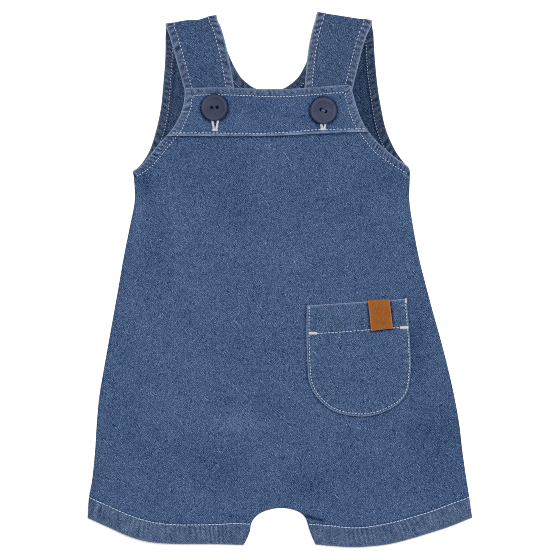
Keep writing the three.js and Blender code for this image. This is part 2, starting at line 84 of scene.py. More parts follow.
NECK = [
    (146.6, -9.5, -6.9), (149.0, -18.7, 2.3), (152.5, -24.6, 8.2), (157.2, -30.0, 13.6), (161.9, -33.3, 16.8),
    (171.2, -38.1, 21.3), (182.0, -42.3, 23.9), (200.0, -47.6, 27.3),
]
# x, bottom edge, stitched line
HEM_LEFT = [
    (-150.0, -186.0, -169.4), (-134.0, -193.1, -176.6), (-118.0, -200.1, -183.6), (-103.0, -204.4, -188.5),
    (-85.0, -206.0, -191.0), (-52.0, -206.3, -191.1), (-36.0, -206.8, -190.3), (-20.0, -207.2, -190.9),
]
HEM_RIGHT = [
    (20.0, -205.8, -190.8), (38.0, -207.6, -191.9), (56.0, -208.6, -193.6), (70.0, -208.0, -192.7),
    (86.0, -206.0, -189.8), (102.0, -202.0, -185.6), (118.0, -197.2, -180.8), (134.0, -192.0, -174.8),
    (150.0, -185.6, -168.8),
]
# y, left, right
ARCH = [
    (-207.2, -28.4, 28.0), (-201.0, -25.2, 25.2), (-195.5, -23.3, 23.1), (-191.0, -22.6, 21.8),
    (-187.5, -21.0, 20.7), (-184.5, -18.4, 18.9), (-182.0, -14.9, 16.0), (-180.2, -10.6, 12.2), (-179.0, -5.8, 7.8),
]
# outer x, outer y, inner x, inner y, from the shoulder fold down
STRAP_LEFT = [
    (-89.2, 199.7, -49.5, 206.4), (-84.6, 184.0, -44.0, 190.0), (-79.9, 167.0, -39.4, 170.5),
    (-75.2, 150.0, -36.2, 152.0), (-71.0, 134.5, -33.6, 136.0), (-67.2, 120.6, -31.2, 121.6),
]
STRAP_RIGHT = [
    (71.9, 201.7, 28.8, 208.6), (65.5, 184.0, 23.6, 187.0), (61.0, 166.5, 20.8, 168.0),
    (57.0, 150.0, 19.2, 151.0), (54.0, 136.0, 17.6, 136.0), (51.0, 121.4, 15.8, 120.6),
]
# x, top edge, lower edge
BAND = [
    (-92.0, 149.2, 111.6), (-73.0, 149.3, 111.8), (-55.0, 149.8, 111.7), (-37.0, 149.7, 111.6), (-17.0, 148.7, 111.7),
    (4.0, 148.7, 112.3), (20.0, 149.4, 113.1), (39.0, 150.9, 114.1), (52.0, 151.6, 114.7), (74.0, 152.0, 114.9),
]
POCKET = [
    (20.8, -20.3), (20.5, -41.7), (21.4, -67.5), (23.2, -82.0), (30.2, -93.4), (42.0, -102.6), (63.0, -106.8),
    (79.0, -104.0), (92.0, -97.0), (99.0, -87.8), (101.6, -74.5), (101.8, -59.7), (100.6, -37.1), (98.5, -15.0),
]
TAB = {"topLeft": (68.4, -15.7), "topRight": (85.2, -15.3), "lowLeft": (70.9, -40.2), "lowRight": (88.1, -38.0)}
BUTTONS = [("button_left", -51.2, 134.0, 4.0), ("button_right", 33.8, 131.6, -22.0)]
BUTTONHOLES = [(-50.6, 117.5), (33.7, 118.1)]     # lower end of each slit
SLIT_LENGTH, SLIT_HALF = 19.0, 1.6

# Stitched lines, read off the photograph.
ARM_STITCH_LEFT = at([(192.2, 95.5), (190.8, 108), (186.8, 118), (181, 131), (170.7, 143.5), (160.4, 156),
                      (150, 167.6), (135.4, 177.2)])
ARM_STITCH_RIGHT = at([(345.2, 92.2), (345.9, 99), (348, 105.5), (349.5, 112.7), (351.5, 118), (353.6, 122.3),
                       (356.6, 128), (361.7, 135.6), (367.9, 143.8), (374, 151), (378.6, 155), (393, 165),
                       (408.6, 174.4)])
BIB_STITCH = at([(192.8, 96.2), (198, 95.2), (219, 94.9), (243, 95.4), (262, 96.4), (284, 96.8), (300, 95.7),
                 (314, 94.8), (329, 93.4), (345, 92.5)])
BAND_STITCH = at([(171.5, 132.9), (190, 132.8), (218, 133.1), (242, 133.4), (264, 133.3), (290, 132.2), (306, 130.7),
                  (320, 129.6), (340, 129.2), (366, 128.9)])
BACK_STITCH_LEFT = at([(172.6, 26), (172.4, 53), (171.3, 69), (170.4, 82), (169.4, 94), (168.5, 107), (166.2, 121),
                       (163.2, 134), (158, 147), (150, 160), (138, 172)])
BACK_STITCH_RIGHT = at([(364.8, 26), (366.2, 46), (367.9, 73.5), (370.8, 95), (373.6, 113.6), (377, 129.7),
                        (382.3, 143.5), (390, 155), (401, 167), (408, 172)])
POCKET_HEM_STITCH = at([(308.6, 334.2), (318, 333.5), (340, 332), (362, 330.4), (385, 328.6), (408, 326.8)])

# ---------------------------------------------------------------- number helpers


def smooth(t):
    c = np.clip(t, 0.0, 1.0)
    return c * c * (3 - 2 * c)


def mix(a, b, t):
    return a + (b - a) * t


def column(rows, key, value):
    """A smooth function through one column of a table, by its key column."""
    k = np.array([r[key] for r in rows], float)
    v = np.array([r[value] for r in rows], float)
    n = len(k)
    lo, hi = np.maximum(np.arange(n) - 1, 0), np.minimum(np.arange(n) + 1, n - 1)
    slope = (v[hi] - v[lo]) / (k[hi] - k[lo])

    def f(q):
        q = np.asarray(q, float)
        i = np.clip(np.searchsorted(k, q, side="right") - 1, 0, n - 2)
        h = k[i + 1] - k[i]
        t = np.clip((q - k[i]) / h, 0, 1)
        t2, t3 = t * t, t * t * t
        return ((2 * t3 - 3 * t2 + 1) * v[i] + (t3 - 2 * t2 + t) * h * slope[i]
                + (3 * t2 - 2 * t3) * v[i + 1] + (t3 - t2) * h * slope[i + 1])

    return f


side_l, side_r = column(SIDES, 0, 1), column(SIDES, 0, 2)
front_arm_l, front_arm_r = column(FRONT_ARM, 0, 1), column(FRONT_ARM, 0, 2)
back_arm_l, back_arm_r = column(BACK_ARM, 0, 1), column(BACK_ARM, 0, 2)
neck_l, neck_r = column(NECK, 0, 1), column(NECK, 0, 2)
arch_l, arch_r = column(ARCH, 0, 1), column(ARCH, 0, 2)
hem_edge_l, hem_edge_r = column(HEM_LEFT, 0, 1), column(HEM_RIGHT, 0, 1)
hem_stitch_l, hem_stitch_r = column(HEM_LEFT, 0, 2), column(HEM_RIGHT, 0, 2)
band_top, band_low = column(BAND, 0, 1), column(BAND, 0, 2)


def hem_line(x):
    x = np.asarray(x, float)
    return np.where(x < 0, hem_stitch_l(x), hem_stitch_r(x))


def hem_edge(x):
    x = np.asarray(x, float)
    return np.where(x < 0, hem_edge_l(x), hem_edge_r(x))


def resample(line, step):
    """A polyline with even steps, its two ends kept."""
    line = np.asarray(line, float)
    s = np.r_[0, np.cumsum(np.hypot(*np.diff(line, axis=0).T))]
    n = max(1, int(round(s[-1] / step)))
    q = np.linspace(0, s[-1], n + 1)
    return np.stack([np.interp(q, s, line[:, 0]), np.interp(q, s, line[:, 1])], 1)


def bend(line, step=1.0):
    """A smooth curve through a few points, with even steps."""
    p = np.asarray(line, float)
    s = np.r_[0, np.cumsum(np.hypot(*np.diff(p, axis=0).T))]
    q = np.linspace(0, s[-1], max(2, int(s[-1] / 0.5)))
    rows = [(a, *b) for a, b in zip(s, p)]
    return resample(np.stack([column(rows, 0, 1)(q), column(rows, 0, 2)(q)], 1), step)


def walk_y(fn, a, b, step=1.2):
    y = np.linspace(a, b, 160)
    return resample(np.stack([fn(y), y], 1), step)


def walk_x(fn, a, b, step=1.2):
    x = np.linspace(a, b, 260)
    return resample(np.stack([x, fn(x)], 1), step)


def join(*runs):
    """One closed outline from runs of points, with repeats dropped."""
    out = [runs[0][0]]
    for run in runs:
        for p in run:
            if math.hypot(p[0] - out[-1][0], p[1] - out[-1][1]) > 0.05:
                out.append(p)
    if math.hypot(out[0][0] - out[-1][0], out[0][1] - out[-1][1]) <= 0.05:
        out.pop()
    return np.array(out, float)


def near(P, line, closed=False, reach=None):
    """Distance of each point to a polyline, and how far along it the nearest point lies. Past reach it isn't measured."""
    line = np.asarray(line, float)
    if closed:
        line = np.vstack([line, line[:1]])
    if reach is not None:
        close = ((P >= line.min(0) - reach) & (P <= line.max(0) + reach)).all(1)
        dist, along = np.full(len(P), float(reach)), np.zeros(len(P))
        if close.any():
            d, s = near(P[close], line)
            dist[close], along[close] = np.minimum(d, reach), s
        return dist, along
    a, d = line[:-1], np.diff(line, axis=0)
    L2 = np.maximum((d * d).sum(1), 1e-12)
    s0 = np.r_[0, np.cumsum(np.sqrt(L2))][:-1]
    dist, along = np.empty(len(P)), np.empty(len(P))
    for i in range(0, len(P), 3000):
        q = P[i:i + 3000, None, :] - a[None]
        t = np.clip((q * d).sum(2) / L2, 0, 1)
        r = q - t[..., None] * d
        e = (r * r).sum(2)
        k = e.argmin(1)
        n = np.arange(len(k))
        dist[i:i + 3000] = np.sqrt(e[n, k])
        along[i:i + 3000] = s0[k] + t[n, k] * np.sqrt(L2[k])
    return dist, along


def inside(P, loop):
    a, b = loop, np.roll(loop, -1, axis=0)
    out = np.zeros(len(P), bool)
    for i in range(0, len(P), 4000):
        x, y = P[i:i + 4000, 0:1], P[i:i + 4000, 1:2]
        cross = (a[:, 1] > y) != (b[:, 1] > y)
        dy = np.where(np.abs(b[:, 1] - a[:, 1]) < 1e-12, 1e-12, b[:, 1] - a[:, 1])
        hit = cross & (x < (b[:, 0] - a[:, 0]) * (y - a[:, 1]) / dy + a[:, 0])
        out[i:i + 4000] = hit.sum(1) % 2 == 1
    return out


def lattice(seed):
    """A seeded soft noise over the plane, from -1 to 1: f(x, y, wavelength)."""
    table = np.random.default_rng(seed).uniform(-1, 1, (64, 64))

    def f(x, y, wave_x, wave_y=None):
        u, v = np.asarray(x, float) / wave_x, np.asarray(y, float) / (wave_y or wave_x)
        i, j = np.floor(u).astype(int), np.floor(v).astype(int)
        a, b = smooth(u - i), smooth(v - j)
        g = lambda p, q: table[p % 64, q % 64]
        return (g(i, j) * (1 - a) * (1 - b) + g(i + 1, j) * a * (1 - b)
                + g(i, j + 1) * (1 - a) * b + g(i + 1, j + 1) * a * b)

    return f


soft = lattice(7)
ripple = lattice(19)
worn = lattice(31)

# ---------------------------------------------------------------- meshes


def inset(loop, off):
    """Points of a closed outline moved inwards."""
    a, b = np.roll(loop, 1, axis=0), np.roll(loop, -1, axis=0)
    t = b - a
    n = np.stack([-t[:, 1], t[:, 0]], 1) / np.maximum(np.hypot(t[:, 0], t[:, 1]), 1e-9)[:, None]
    area = 0.5 * (loop[:, 0] * b[:, 1] - b[:, 0] * loop[:, 1]).sum()
    return loop + (n if area > 0 else -n) * off


def triangulate(loop, step, rings, fine=None, fine_step=1.0, lines=(), holes=(), free=None):
    """Fills an outline with triangles: close rings along the edge, lines of points along stitches, a grid between.
    Returns the points, the triangles and which points lie on the outline."""
    edge = [loop, *holes]
    extra = []
    for one in edge:
        for k, off in enumerate(rings):
            p = inset(one, off) if one is loop else inset(one, -off)
            dist = np.min([near(p, e, True)[0] for e in edge], axis=0)
            keep = (dist > off * 0.9) & inside(p, loop)
            extra.append(p[keep])
    for line in lines:
        t = np.gradient(line, axis=0)
        n = np.stack([-t[:, 1], t[:, 0]], 1) / np.hypot(t[:, 0], t[:, 1])[:, None]
        for off in (-1.0, -0.4, 0.0, 0.4, 1.0):
            p = line + n * off
            dist = near(p, loop, True)[0]
            extra.append(p[inside(p, loop) & (dist > rings[-1] + 0.35)])
    extra = np.vstack(extra)
    tree = kdtree.KDTree(len(extra))
    for i, p in enumerate(extra):
        tree.insert((p[0], p[1], 0), i)
    tree.balance()
    lo, hi = loop.min(0), loop.max(0)

    def grid(h):
        xs = np.arange(lo[0], hi[0], h)
        ys = np.arange(lo[1], hi[1], h * 0.866)
        X, Y = np.meshgrid(xs, ys)
        X = X + (np.arange(len(ys)) % 2)[:, None] * h / 2
        return np.stack([X.ravel(), Y.ravel()], 1)

    cand = grid(step)
    gap = np.full(len(cand), step * 0.55)
    if fine is not None:
        cand = cand[~fine(cand)]
        small = grid(fine_step)
        small = small[fine(small)]
        gap = np.r_[np.full(len(cand), step * 0.55), np.full(len(small), fine_step * 0.55)]
        cand = np.vstack([cand, small])
    ok = inside(cand, loop)
    for h in holes:
        ok &= ~inside(cand, h)
    cand, gap = cand[ok], gap[ok]
    dist = np.min([near(cand, e, True)[0] for e in edge], axis=0)
    ok = dist > rings[-1] + gap
    cand, gap = cand[ok], gap[ok]
    ok = np.array([tree.find((p[0], p[1], 0))[2] > g for p, g in zip(cand, gap)], bool)
    cand = cand[ok]
    # the lines' own points keep clear of each other where two lines cross
    kept, seen = [], set()
    for p in extra:
        key = (round(p[0] / 0.12), round(p[1] / 0.12))
        if key not in seen:
            seen.add(key)
            kept.append(p)
    pts = np.vstack([*edge, np.array(kept), cand])
    edges, start = [], 0
    for e in edge:
        n = len(e)
        edges += [(start + i, start + (i + 1) % n) for i in range(n)]
        start += n
    co, _, faces, *_ = geometry.delaunay_2d_cdt([Vector(p) for p in pts], edges, [], 0, 1e-5)
    co = np.array([(v[0], v[1]) for v in co])
    tri = np.array([f for f in faces if len(f) == 3])
    mid = co[tri].mean(1)
    ok = inside(mid, loop)
    for h in holes:
        ok &= ~inside(mid, h)
    tri = tri[ok]
    p = co[tri]
    turn = (p[:, 1, 0] - p[:, 0, 0]) * (p[:, 2, 1] - p[:, 0, 1]) - (p[:, 1, 1] - p[:, 0, 1]) * (p[:, 2, 0] - p[:, 0, 0])
    tri[turn < 0] = tri[turn < 0][:, ::-1]
    tri = tri[np.abs(turn) > 1e-9]
    # vertices on an open boundary of the triangles
    pairs = np.sort(np.vstack([tri[:, [0, 1]], tri[:, [1, 2]], tri[:, [2, 0]]]), axis=1)
    code = pairs[:, 0].astype(np.int64) * (len(co) + 1) + pairs[:, 1]
    uniq, count = np.unique(code, return_counts=True)
    lone = uniq[count == 1]
    rim = np.zeros(len(co), bool)
    rim[(lone // (len(co) + 1)).astype(int)] = True
    rim[(lone % (len(co) + 1)).astype(int)] = True
    used = np.zeros(len(co), bool)
    used[tri] = True
    index = np.cumsum(used) - 1
    return co[used], index[tri], rim[used]


def roll(d, r):
    """The round shoulder of a folded edge: 0 at the edge, 1 past the radius."""
    t = 1 - np.clip(d / r, 0, 1)
    return np.sqrt(np.maximum(0.0, 1 - t * t))


def make(name, verts, faces, materials, face_material, uv, floats, flat_shaded=False):
    """A mesh object from millimetres, with its cloth coordinates and its named values at each vertex."""
    me = bpy.data.meshes.new(name)
    verts = np.asarray(verts, float) * MM
    me.from_pydata(verts.tolist(), [], [list(map(int, f)) for f in faces])
    for m in materials:
        me.materials.append(m)
    me.polygons.foreach_set("material_index", np.asarray(face_material, np.int32))
    me.polygons.foreach_set("use_smooth", np.full(len(me.polygons), not flat_shaded))
    if uv is not None:
        layer = me.uv_layers.new(name="cloth")
        corner = np.empty(len(me.loops), np.int32)
        me.loops.foreach_get("vertex_index", corner)
        layer.uv.foreach_set("vector", (np.asarray(uv, float)[corner] * MM).astype(np.float32).ravel())
    for key, values in floats.items():
        a = me.attributes.new(key, "FLOAT", "POINT")
        a.data.foreach_set("value", np.asarray(values, np.float32))
    me.validate(clean_customdata=False)
    me.update()
    ob = bpy.data.objects.new(name, me)
    bpy.context.scene.collection.objects.link(ob)
    return ob


def shell_arrays(P, tri, rim, top, low, edge):
    """The two faces of a panel, joined along its rim: vertices, faces, which faces are upper, source point of each vertex."""
    n = len(P)
    lower = np.full(n, -1)
    inner = ~rim
    lower[inner] = n + np.arange(inner.sum())
    lower[rim] = np.where(rim)[0]
    zt = np.where(rim, edge, top)
    verts = np.vstack([np.column_stack([P, zt]), np.column_stack([P[inner], low[inner]])])
    faces = np.vstack([tri, lower[tri][:, ::-1]])
    upper = np.r_[np.ones(len(tri), bool), np.zeros(len(tri), bool)]
    source = np.r_[np.arange(n), np.where(inner)[0]]
    return verts, faces, upper, source


# ---------------------------------------------------------------- materials


def nodes_of(name):
    m = bpy.data.materials.new(name)
    m.use_nodes = True
    nt = m.node_tree
    nt.nodes.clear()
    out = nt.nodes.new("ShaderNodeOutputMaterial")
    bsdf = nt.nodes.new("ShaderNodeBsdfPrincipled")
    nt.links.new(bsdf.outputs[0], out.inputs[0])
    return m, nt, bsdf


def linear(r, g, b):
    """An 8-bit screen colour as linear light."""
    f = lambda c: c / 12.92 if c <= 0.04045 else ((c + 0.055) / 1.055) ** 2.4
    return (f(r / 255), f(g / 255), f(b / 255), 1.0)


LIGHT = 1.30         # what a white surface shows in this light, so a base colour is its screen colour over this


def base(r, g, b):
    c = linear(r, g, b)
    return (c[0] / LIGHT, c[1] / LIGHT, c[2] / LIGHT, 1.0)


def math_node(nt, op, a, b=None, c=None, clamp=False):
    n = nt.nodes.new("ShaderNodeMath")
    n.operation = op
    n.use_clamp = clamp
    for i, v in enumerate((a, b, c)):
        if v is None:
            continue
        if isinstance(v, (int, float)):
            n.inputs[i].default_value = v
        else:
            nt.links.new(v, n.inputs[i])
    return n.outputs[0]


def vector_scale(nt, vec, sx, sy, sz=1.0):
    n = nt.nodes.new("ShaderNodeVectorMath")
    n.operation = "MULTIPLY"
    nt.links.new(vec, n.inputs[0])
    n.inputs[1].default_value = (sx, sy, sz)
    return n.outputs[0]


def ramp(nt, fac, stops, interpolation="LINEAR"):
    n = nt.nodes.new("ShaderNodeValToRGB")
    n.color_ramp.interpolation = interpolation
    while len(n.color_ramp.elements) < len(stops):
        n.color_ramp.elements.new(0.5)
    for e, (pos, colour) in zip(n.color_ramp.elements, stops):
        e.position = pos
        e.color = colour
    nt.links.new(fac, n.inputs[0])
    return n.outputs[0]


def attribute(nt, name):
    n = nt.nodes.new("ShaderNodeAttribute")
    n.attribute_name = name
    return n.outputs["Fac"]


def noise(nt, vec, scale, detail=2.0, rough=0.5):
    n = nt.nodes.new("ShaderNodeTexNoise")
    n.noise_dimensions = "2D"
    nt.links.new(vec, n.inputs["Vector"])
    n.inputs["Scale"].default_value = scale
    n.inputs["Detail"].default_value = detail
    n.inputs["Roughness"].default_value = rough
    return n.outputs["Fac"]


def denim(name, shade=(64, 87, 123), grain=1.0, washed=(150, 148, 150)):
    """Denim: a fine twill of dyed warp over pale weft, with random flecks, slubs, soft tone and rubbed edges."""
    m, nt, bsdf = nodes_of(name)
    uv = nt.nodes.new("ShaderNodeUVMap")
    uv.uv_map = "cloth"
    mm = vector_scale(nt, uv.outputs[0], 1000, 1000, 0)     # millimetres on the cloth
    # yarns lie a little unevenly
    sway = nt.nodes.new("ShaderNodeTexNoise")
    sway.noise_dimensions = "2D"
    sway.inputs["Scale"].default_value = 0.16
    sway.inputs["Detail"].default_value = 1.0
    nt.links.new(mm, sway.inputs["Vector"])
    off = nt.nodes.new("ShaderNodeVectorMath")
    off.operation = "MULTIPLY_ADD"
    nt.links.new(sway.outputs["Color"], off.inputs[0])
    off.inputs[1].default_value = (3.4, 3.4, 0)
    nt.links.new(mm, off.inputs[2])
    # crossings of warp and weft
    cell = vector_scale(nt, off.outputs[0], 1 / 0.42, 1 / 0.46, 0)
    snap = nt.nodes.new("ShaderNodeVectorMath")
    snap.operation = "FLOOR"
    nt.links.new(cell, snap.inputs[0])
    white = nt.nodes.new("ShaderNodeTexWhiteNoise")
    white.noise_dimensions = "2D"
    nt.links.new(snap.outputs[0], white.inputs["Vector"])
    rnd = nt.nodes.new("ShaderNodeSeparateColor")
    nt.links.new(white.outputs["Color"], rnd.inputs[0])
    # twill diagonal: the pale weft passes over one warp in four
    sep = nt.nodes.new("ShaderNodeSeparateXYZ")
    nt.links.new(snap.outputs[0], sep.inputs[0])
    step4 = math_node(nt, "MODULO", math_node(nt, "ADD", math_node(nt, "ADD", sep.outputs[0], sep.outputs[1]), 40000.0), 4.0)
    pale = math_node(nt, "LESS_THAN", step4, 0.5)
    # yarns: each warp and weft has its own shade that drifts along it
    warp = noise(nt, vector_scale(nt, mm, 1 / 0.42, 1 / 14.0, 0), 1.0, 1.0)
    weft_n = noise(nt, vector_scale(nt, mm, 1 / 16.0, 1 / 0.46, 0), 1.0, 1.0)
    tone = noise(nt, mm, 1 / 42.0, 1.0, 0.5)
    v = math_node(nt, "MULTIPLY", math_node(nt, "SUBTRACT", white.outputs["Value"], 0.5), 0.27 * grain)
    fleck = math_node(nt, "MULTIPLY", pale, math_node(nt, "ADD", math_node(nt, "MULTIPLY", rnd.outputs[1], 0.20 * grain), 0.05 * grain))
    v = math_node(nt, "ADD", v, math_node(nt, "SUBTRACT", fleck, 0.0375 * grain))
    v = math_node(nt, "ADD", v, math_node(nt, "MULTIPLY", math_node(nt, "SUBTRACT", warp, 0.5), 0.06))
    v = math_node(nt, "ADD", v, math_node(nt, "MULTIPLY", math_node(nt, "SUBTRACT", weft_n, 0.5), 0.04))
    v = math_node(nt, "ADD", v, math_node(nt, "MULTIPLY", math_node(nt, "SUBTRACT", tone, 0.5), 0.05))
    v = math_node(nt, "ADD", math_node(nt, "ADD", v, attribute(nt, "tone")), 0.5)
    r, g, b = shade
    stops = [(0.5 + k / 255.0, base(max(r + k, 8), max(g + k, 12), max(b + k, 20)))
             for k in (-62, -40, -20, 0, 20, 40, 62, 90)]
    colour = ramp(nt, v, stops)
    # turned hems are washed greyer, and folds are rubbed pale, both broken up by the weave
    uneven = math_node(nt, "ADD", math_node(nt, "MULTIPLY", rnd.outputs[0], 0.4), 0.8)
    for key, share, tint in (("fade", 0.13, washed), ("wear_and_painted_light", 0.60, (152, 172, 202))):
        blend = nt.nodes.new("ShaderNodeMix")
        blend.data_type = "RGBA"
        nt.links.new(math_node(nt, "MULTIPLY", math_node(nt, "MULTIPLY", attribute(nt, key), uneven), share, clamp=True),
                     blend.inputs[0])
        nt.links.new(colour, blend.inputs[6])
        blend.inputs[7].default_value = base(*tint)
        colour = blend.outputs[2]
    nt.links.new(colour, bsdf.inputs["Base Color"])
    bsdf.inputs["Roughness"].default_value = 0.88
    bsdf.inputs["Specular IOR Level"].default_value = 0.08
    bsdf.inputs["Sheen Weight"].default_value = 0.05
    bsdf.inputs["Sheen Roughness"].default_value = 0.45
    bsdf.inputs["Sheen Tint"].default_value = (0.75, 0.82, 0.95, 1)
    # yarn relief
    fx = nt.nodes.new("ShaderNodeVectorMath")
    fx.operation = "FRACTION"
    nt.links.new(cell, fx.inputs[0])
    s2 = nt.nodes.new("ShaderNodeSeparateXYZ")
    nt.links.new(fx.outputs[0], s2.inputs[0])
    hump = math_node(nt, "MULTIPLY", math_node(nt, "SINE", math_node(nt, "MULTIPLY", s2.outputs[0], math.pi)),
                     math_node(nt, "SINE", math_node(nt, "MULTIPLY", s2.outputs[1], math.pi)))
    rise = math_node(nt, "ADD", hump, math_node(nt, "MULTIPLY", white.outputs["Value"], 0.5))
    rise = math_node(nt, "ADD", rise, math_node(nt, "MULTIPLY", pale, -0.4))
    rise = math_node(nt, "ADD", rise, math_node(nt, "MULTIPLY", warp, 0.8))
    bump = nt.nodes.new("ShaderNodeBump")
    bump.inputs["Strength"].default_value = 0.35
    bump.inputs["Distance"].default_value = 0.00012
    nt.links.new(rise, bump.inputs["Height"])
    nt.links.new(bump.outputs[0], bsdf.inputs["Normal"])
    return m


def thread(name, colour):
    """Sewing thread: two plies twisted, seen as fine slanted ridges."""
    m, nt, bsdf = nodes_of(name)
    tc = nt.nodes.new("ShaderNodeTexCoord")
    mm = vector_scale(nt, tc.outputs["Object"], 1000, 1000, 1000)
    wave = nt.nodes.new("ShaderNodeTexWave")
    wave.inputs["Scale"].default_value = 1.1
    wave.inputs["Distortion"].default_value = 1.5
    wave.bands_direction = "DIAGONAL"
    nt.links.new(mm, wave.inputs["Vector"])
    n = nt.nodes.new("ShaderNodeTexNoise")
    n.inputs["Scale"].default_value = 0.8
    nt.links.new(mm, n.inputs["Vector"])
    f = math_node(nt, "ADD", math_node(nt, "MULTIPLY", wave.outputs["Fac"], 0.45), math_node(nt, "MULTIPLY", n.outputs["Fac"], 0.55))
    dark = tuple(c * 0.72 for c in colour)
    nt.links.new(ramp(nt, f, [(0.15, base(*dark)), (0.75, base(*colour))]), bsdf.inputs["Base Color"])
    bsdf.inputs["Roughness"].default_value = 0.6
    bsdf.inputs["Specular IOR Level"].default_value = 0.3
    bump = nt.nodes.new("ShaderNodeBump")
    bump.inputs["Strength"].default_value = 0.4
    bump.inputs["Distance"].default_value = 0.00005
    nt.links.new(wave.outputs["Fac"], bump.inputs["Height"])
    nt.links.new(bump.outputs[0], bsdf.inputs["Normal"])
    return m


def leather_material():
    """Smooth tan leather, finely grained, paler where its cut edges are rubbed."""
    m, nt, bsdf = nodes_of("tan_leather")
    tc = nt.nodes.new("ShaderNodeTexCoord")
    mm = vector_scale(nt, tc.outputs["Object"], 1000, 1000, 1000)
    grain = nt.nodes.new("ShaderNodeTexVoronoi")
    grain.inputs["Scale"].default_value = 1.3
    nt.links.new(mm, grain.inputs["Vector"])
    n1 = nt.nodes.new("ShaderNodeTexNoise")
    n1.inputs["Scale"].default_value = 0.9
    n1.inputs["Detail"].default_value = 3
    nt.links.new(mm, n1.inputs["Vector"])
    n2 = nt.nodes.new("ShaderNodeTexNoise")
    n2.inputs["Scale"].default_value = 0.16
    nt.links.new(mm, n2.inputs["Vector"])
    v = math_node(nt, "MULTIPLY", math_node(nt, "SUBTRACT", n1.outputs["Fac"], 0.5), 0.34)
    v = math_node(nt, "ADD", v, math_node(nt, "MULTIPLY", math_node(nt, "SUBTRACT", n2.outputs["Fac"], 0.5), 0.12))
    v = math_node(nt, "ADD", v, math_node(nt, "MULTIPLY", math_node(nt, "SUBTRACT", grain.outputs["Distance"], 0.35), 0.16))
    v = math_node(nt, "ADD", v, math_node(nt, "MULTIPLY", attribute(nt, "wear_and_painted_light"), 0.30))
    v = math_node(nt, "ADD", v, 0.42)
    nt.links.new(ramp(nt, v, [(0.0, base(112, 58, 18)), (0.42, base(149, 85, 30)), (0.75, base(186, 124, 72)),
                              (1.0, base(206, 158, 116))]), bsdf.inputs["Base Color"])
    bsdf.inputs["Roughness"].default_value = 0.62
    bsdf.inputs["Specular IOR Level"].default_value = 0.07
    h = math_node(nt, "ADD", grain.outputs["Distance"], math_node(nt, "MULTIPLY", n1.outputs["Fac"], 0.8))
    bump = nt.nodes.new("ShaderNodeBump")
    bump.inputs["Strength"].default_value = 0.35
    bump.inputs["Distance"].default_value = 0.00012
    nt.links.new(h, bump.inputs["Height"])
    nt.links.new(bump.outputs[0], bsdf.inputs["Normal"])
    return m


def button_material():
    """Matte moulded plastic, dark navy, faintly brushed and speckled."""
    m, nt, bsdf = nodes_of("navy_plastic")
    tc = nt.nodes.new("ShaderNodeTexCoord")
    mm = vector_scale(nt, tc.outputs["Object"], 1000, 1000, 1000)
    n1 = nt.nodes.new("ShaderNodeTexNoise")
    n1.inputs["Scale"].default_value = 1.2
    n1.inputs["Detail"].default_value = 3
    nt.links.new(mm, n1.inputs["Vector"])
    n2 = nt.nodes.new("ShaderNodeTexNoise")
    n2.inputs["Scale"].default_value = 0.12
    nt.links.new(mm, n2.inputs["Vector"])
    v = math_node(nt, "ADD", math_node(nt, "MULTIPLY", n1.outputs["Fac"], 0.6), math_node(nt, "MULTIPLY", n2.outputs["Fac"], 0.4))
    # painted highlight on the rim and painted shade in the holes come in through this attribute, with the right button
    # painted a little lighter
    v = math_node(nt, "ADD", v, math_node(nt, "MULTIPLY", attribute(nt, "wear_and_painted_light"), 0.35))
    nt.links.new(ramp(nt, v, [(0.0, base(12, 12, 18)), (0.25, base(44, 48, 72)), (0.5, base(51, 56, 81)), (0.95, base(80, 86, 110))]),
                 bsdf.inputs["Base Color"])
    bsdf.inputs["Roughness"].default_value = 0.58
    bsdf.inputs["Specular IOR Level"].default_value = 0.14
    bump = nt.nodes.new("ShaderNodeBump")
    bump.inputs["Strength"].default_value = 0.12
    bump.inputs["Distance"].default_value = 0.0001
    nt.links.new(n1.outputs["Fac"], bump.inputs["Height"])
    nt.links.new(bump.outputs[0], bsdf.inputs["Normal"])
    return m


DENIM = denim("denim")
DENIM_BAND = denim("denim_band", grain=0.92)
# painted shade: the wrong side is given a darker shade than the right side, for the shade that lies on the inside of
# the back
DENIM_INSIDE = denim("denim_wrong_side_painted_shade", shade=(41, 61, 90), grain=0.9, washed=(112, 98, 94))
THREAD = thread("off_white_thread", (217, 239, 269))
# painted shade: the same thread as outside, given a darker colour for the shade on the inside of the back
THREAD_INSIDE = thread("inside_thread", (178, 196, 230))
THREAD_HOLE = thread("buttonhole_thread", (243, 248, 254))
THREAD_DARK = thread("navy_thread", (48, 51, 70))
THREAD_GREY = thread("grey_thread", (128, 127, 148))
LEATHER = leather_material()
PLASTIC = button_material()

# ---------------------------------------------------------------- outlines


def leg_edges():
    up = ARCH[-1][0]
    a, b = float(arch_l(up)), float(arch_r(up))
    t = np.linspace(0, 1, 14)
    crown = np.stack([mix(a, b, t), up + 0.7 * 4 * t * (1 - t)], 1)
    return [walk_x(hem_edge_l, -150, -28.4), walk_y(arch_l, -206.6, up), crown, walk_y(arch_r, up, -206.4),
            walk_x(hem_edge_r, 28, 150)]


LEG = leg_edges()
HEM_L, ARCH_LINE, HEM_R = LEG[0], np.vstack(LEG[1:4]), LEG[4]
SIDE_R, SIDE_L = walk_y(side_r, -185.6, 84.6), walk_y(side_l, 84.6, -186.0)
F_ARM_R, F_ARM_L = walk_y(front_arm_r, 84.6, LAP_TOP, 1.0), walk_y(front_arm_l, LAP_TOP, 84.6, 1.0)
FRONT_LOOP = join(*LEG, SIDE_R, F_ARM_R, walk_x(lambda x: 0 * x + LAP_TOP, float(front_arm_r(LAP_TOP)),
                                               float(front_arm_l(LAP_TOP)), 1.6), F_ARM_L, SIDE_L)
ARM_LINE_L = walk_y(front_arm_l, 150.5, 84.6, 1.0)      # the whole front armhole edges, bib band and panel
ARM_LINE_R = walk_y(front_arm_r, 84.6, 151.5, 1.0)
B_ARM_R_CUT = 188.0      # the back panel's mesh ends here and the strap's own mesh goes on
B_ARM_L_CUT = 186.0


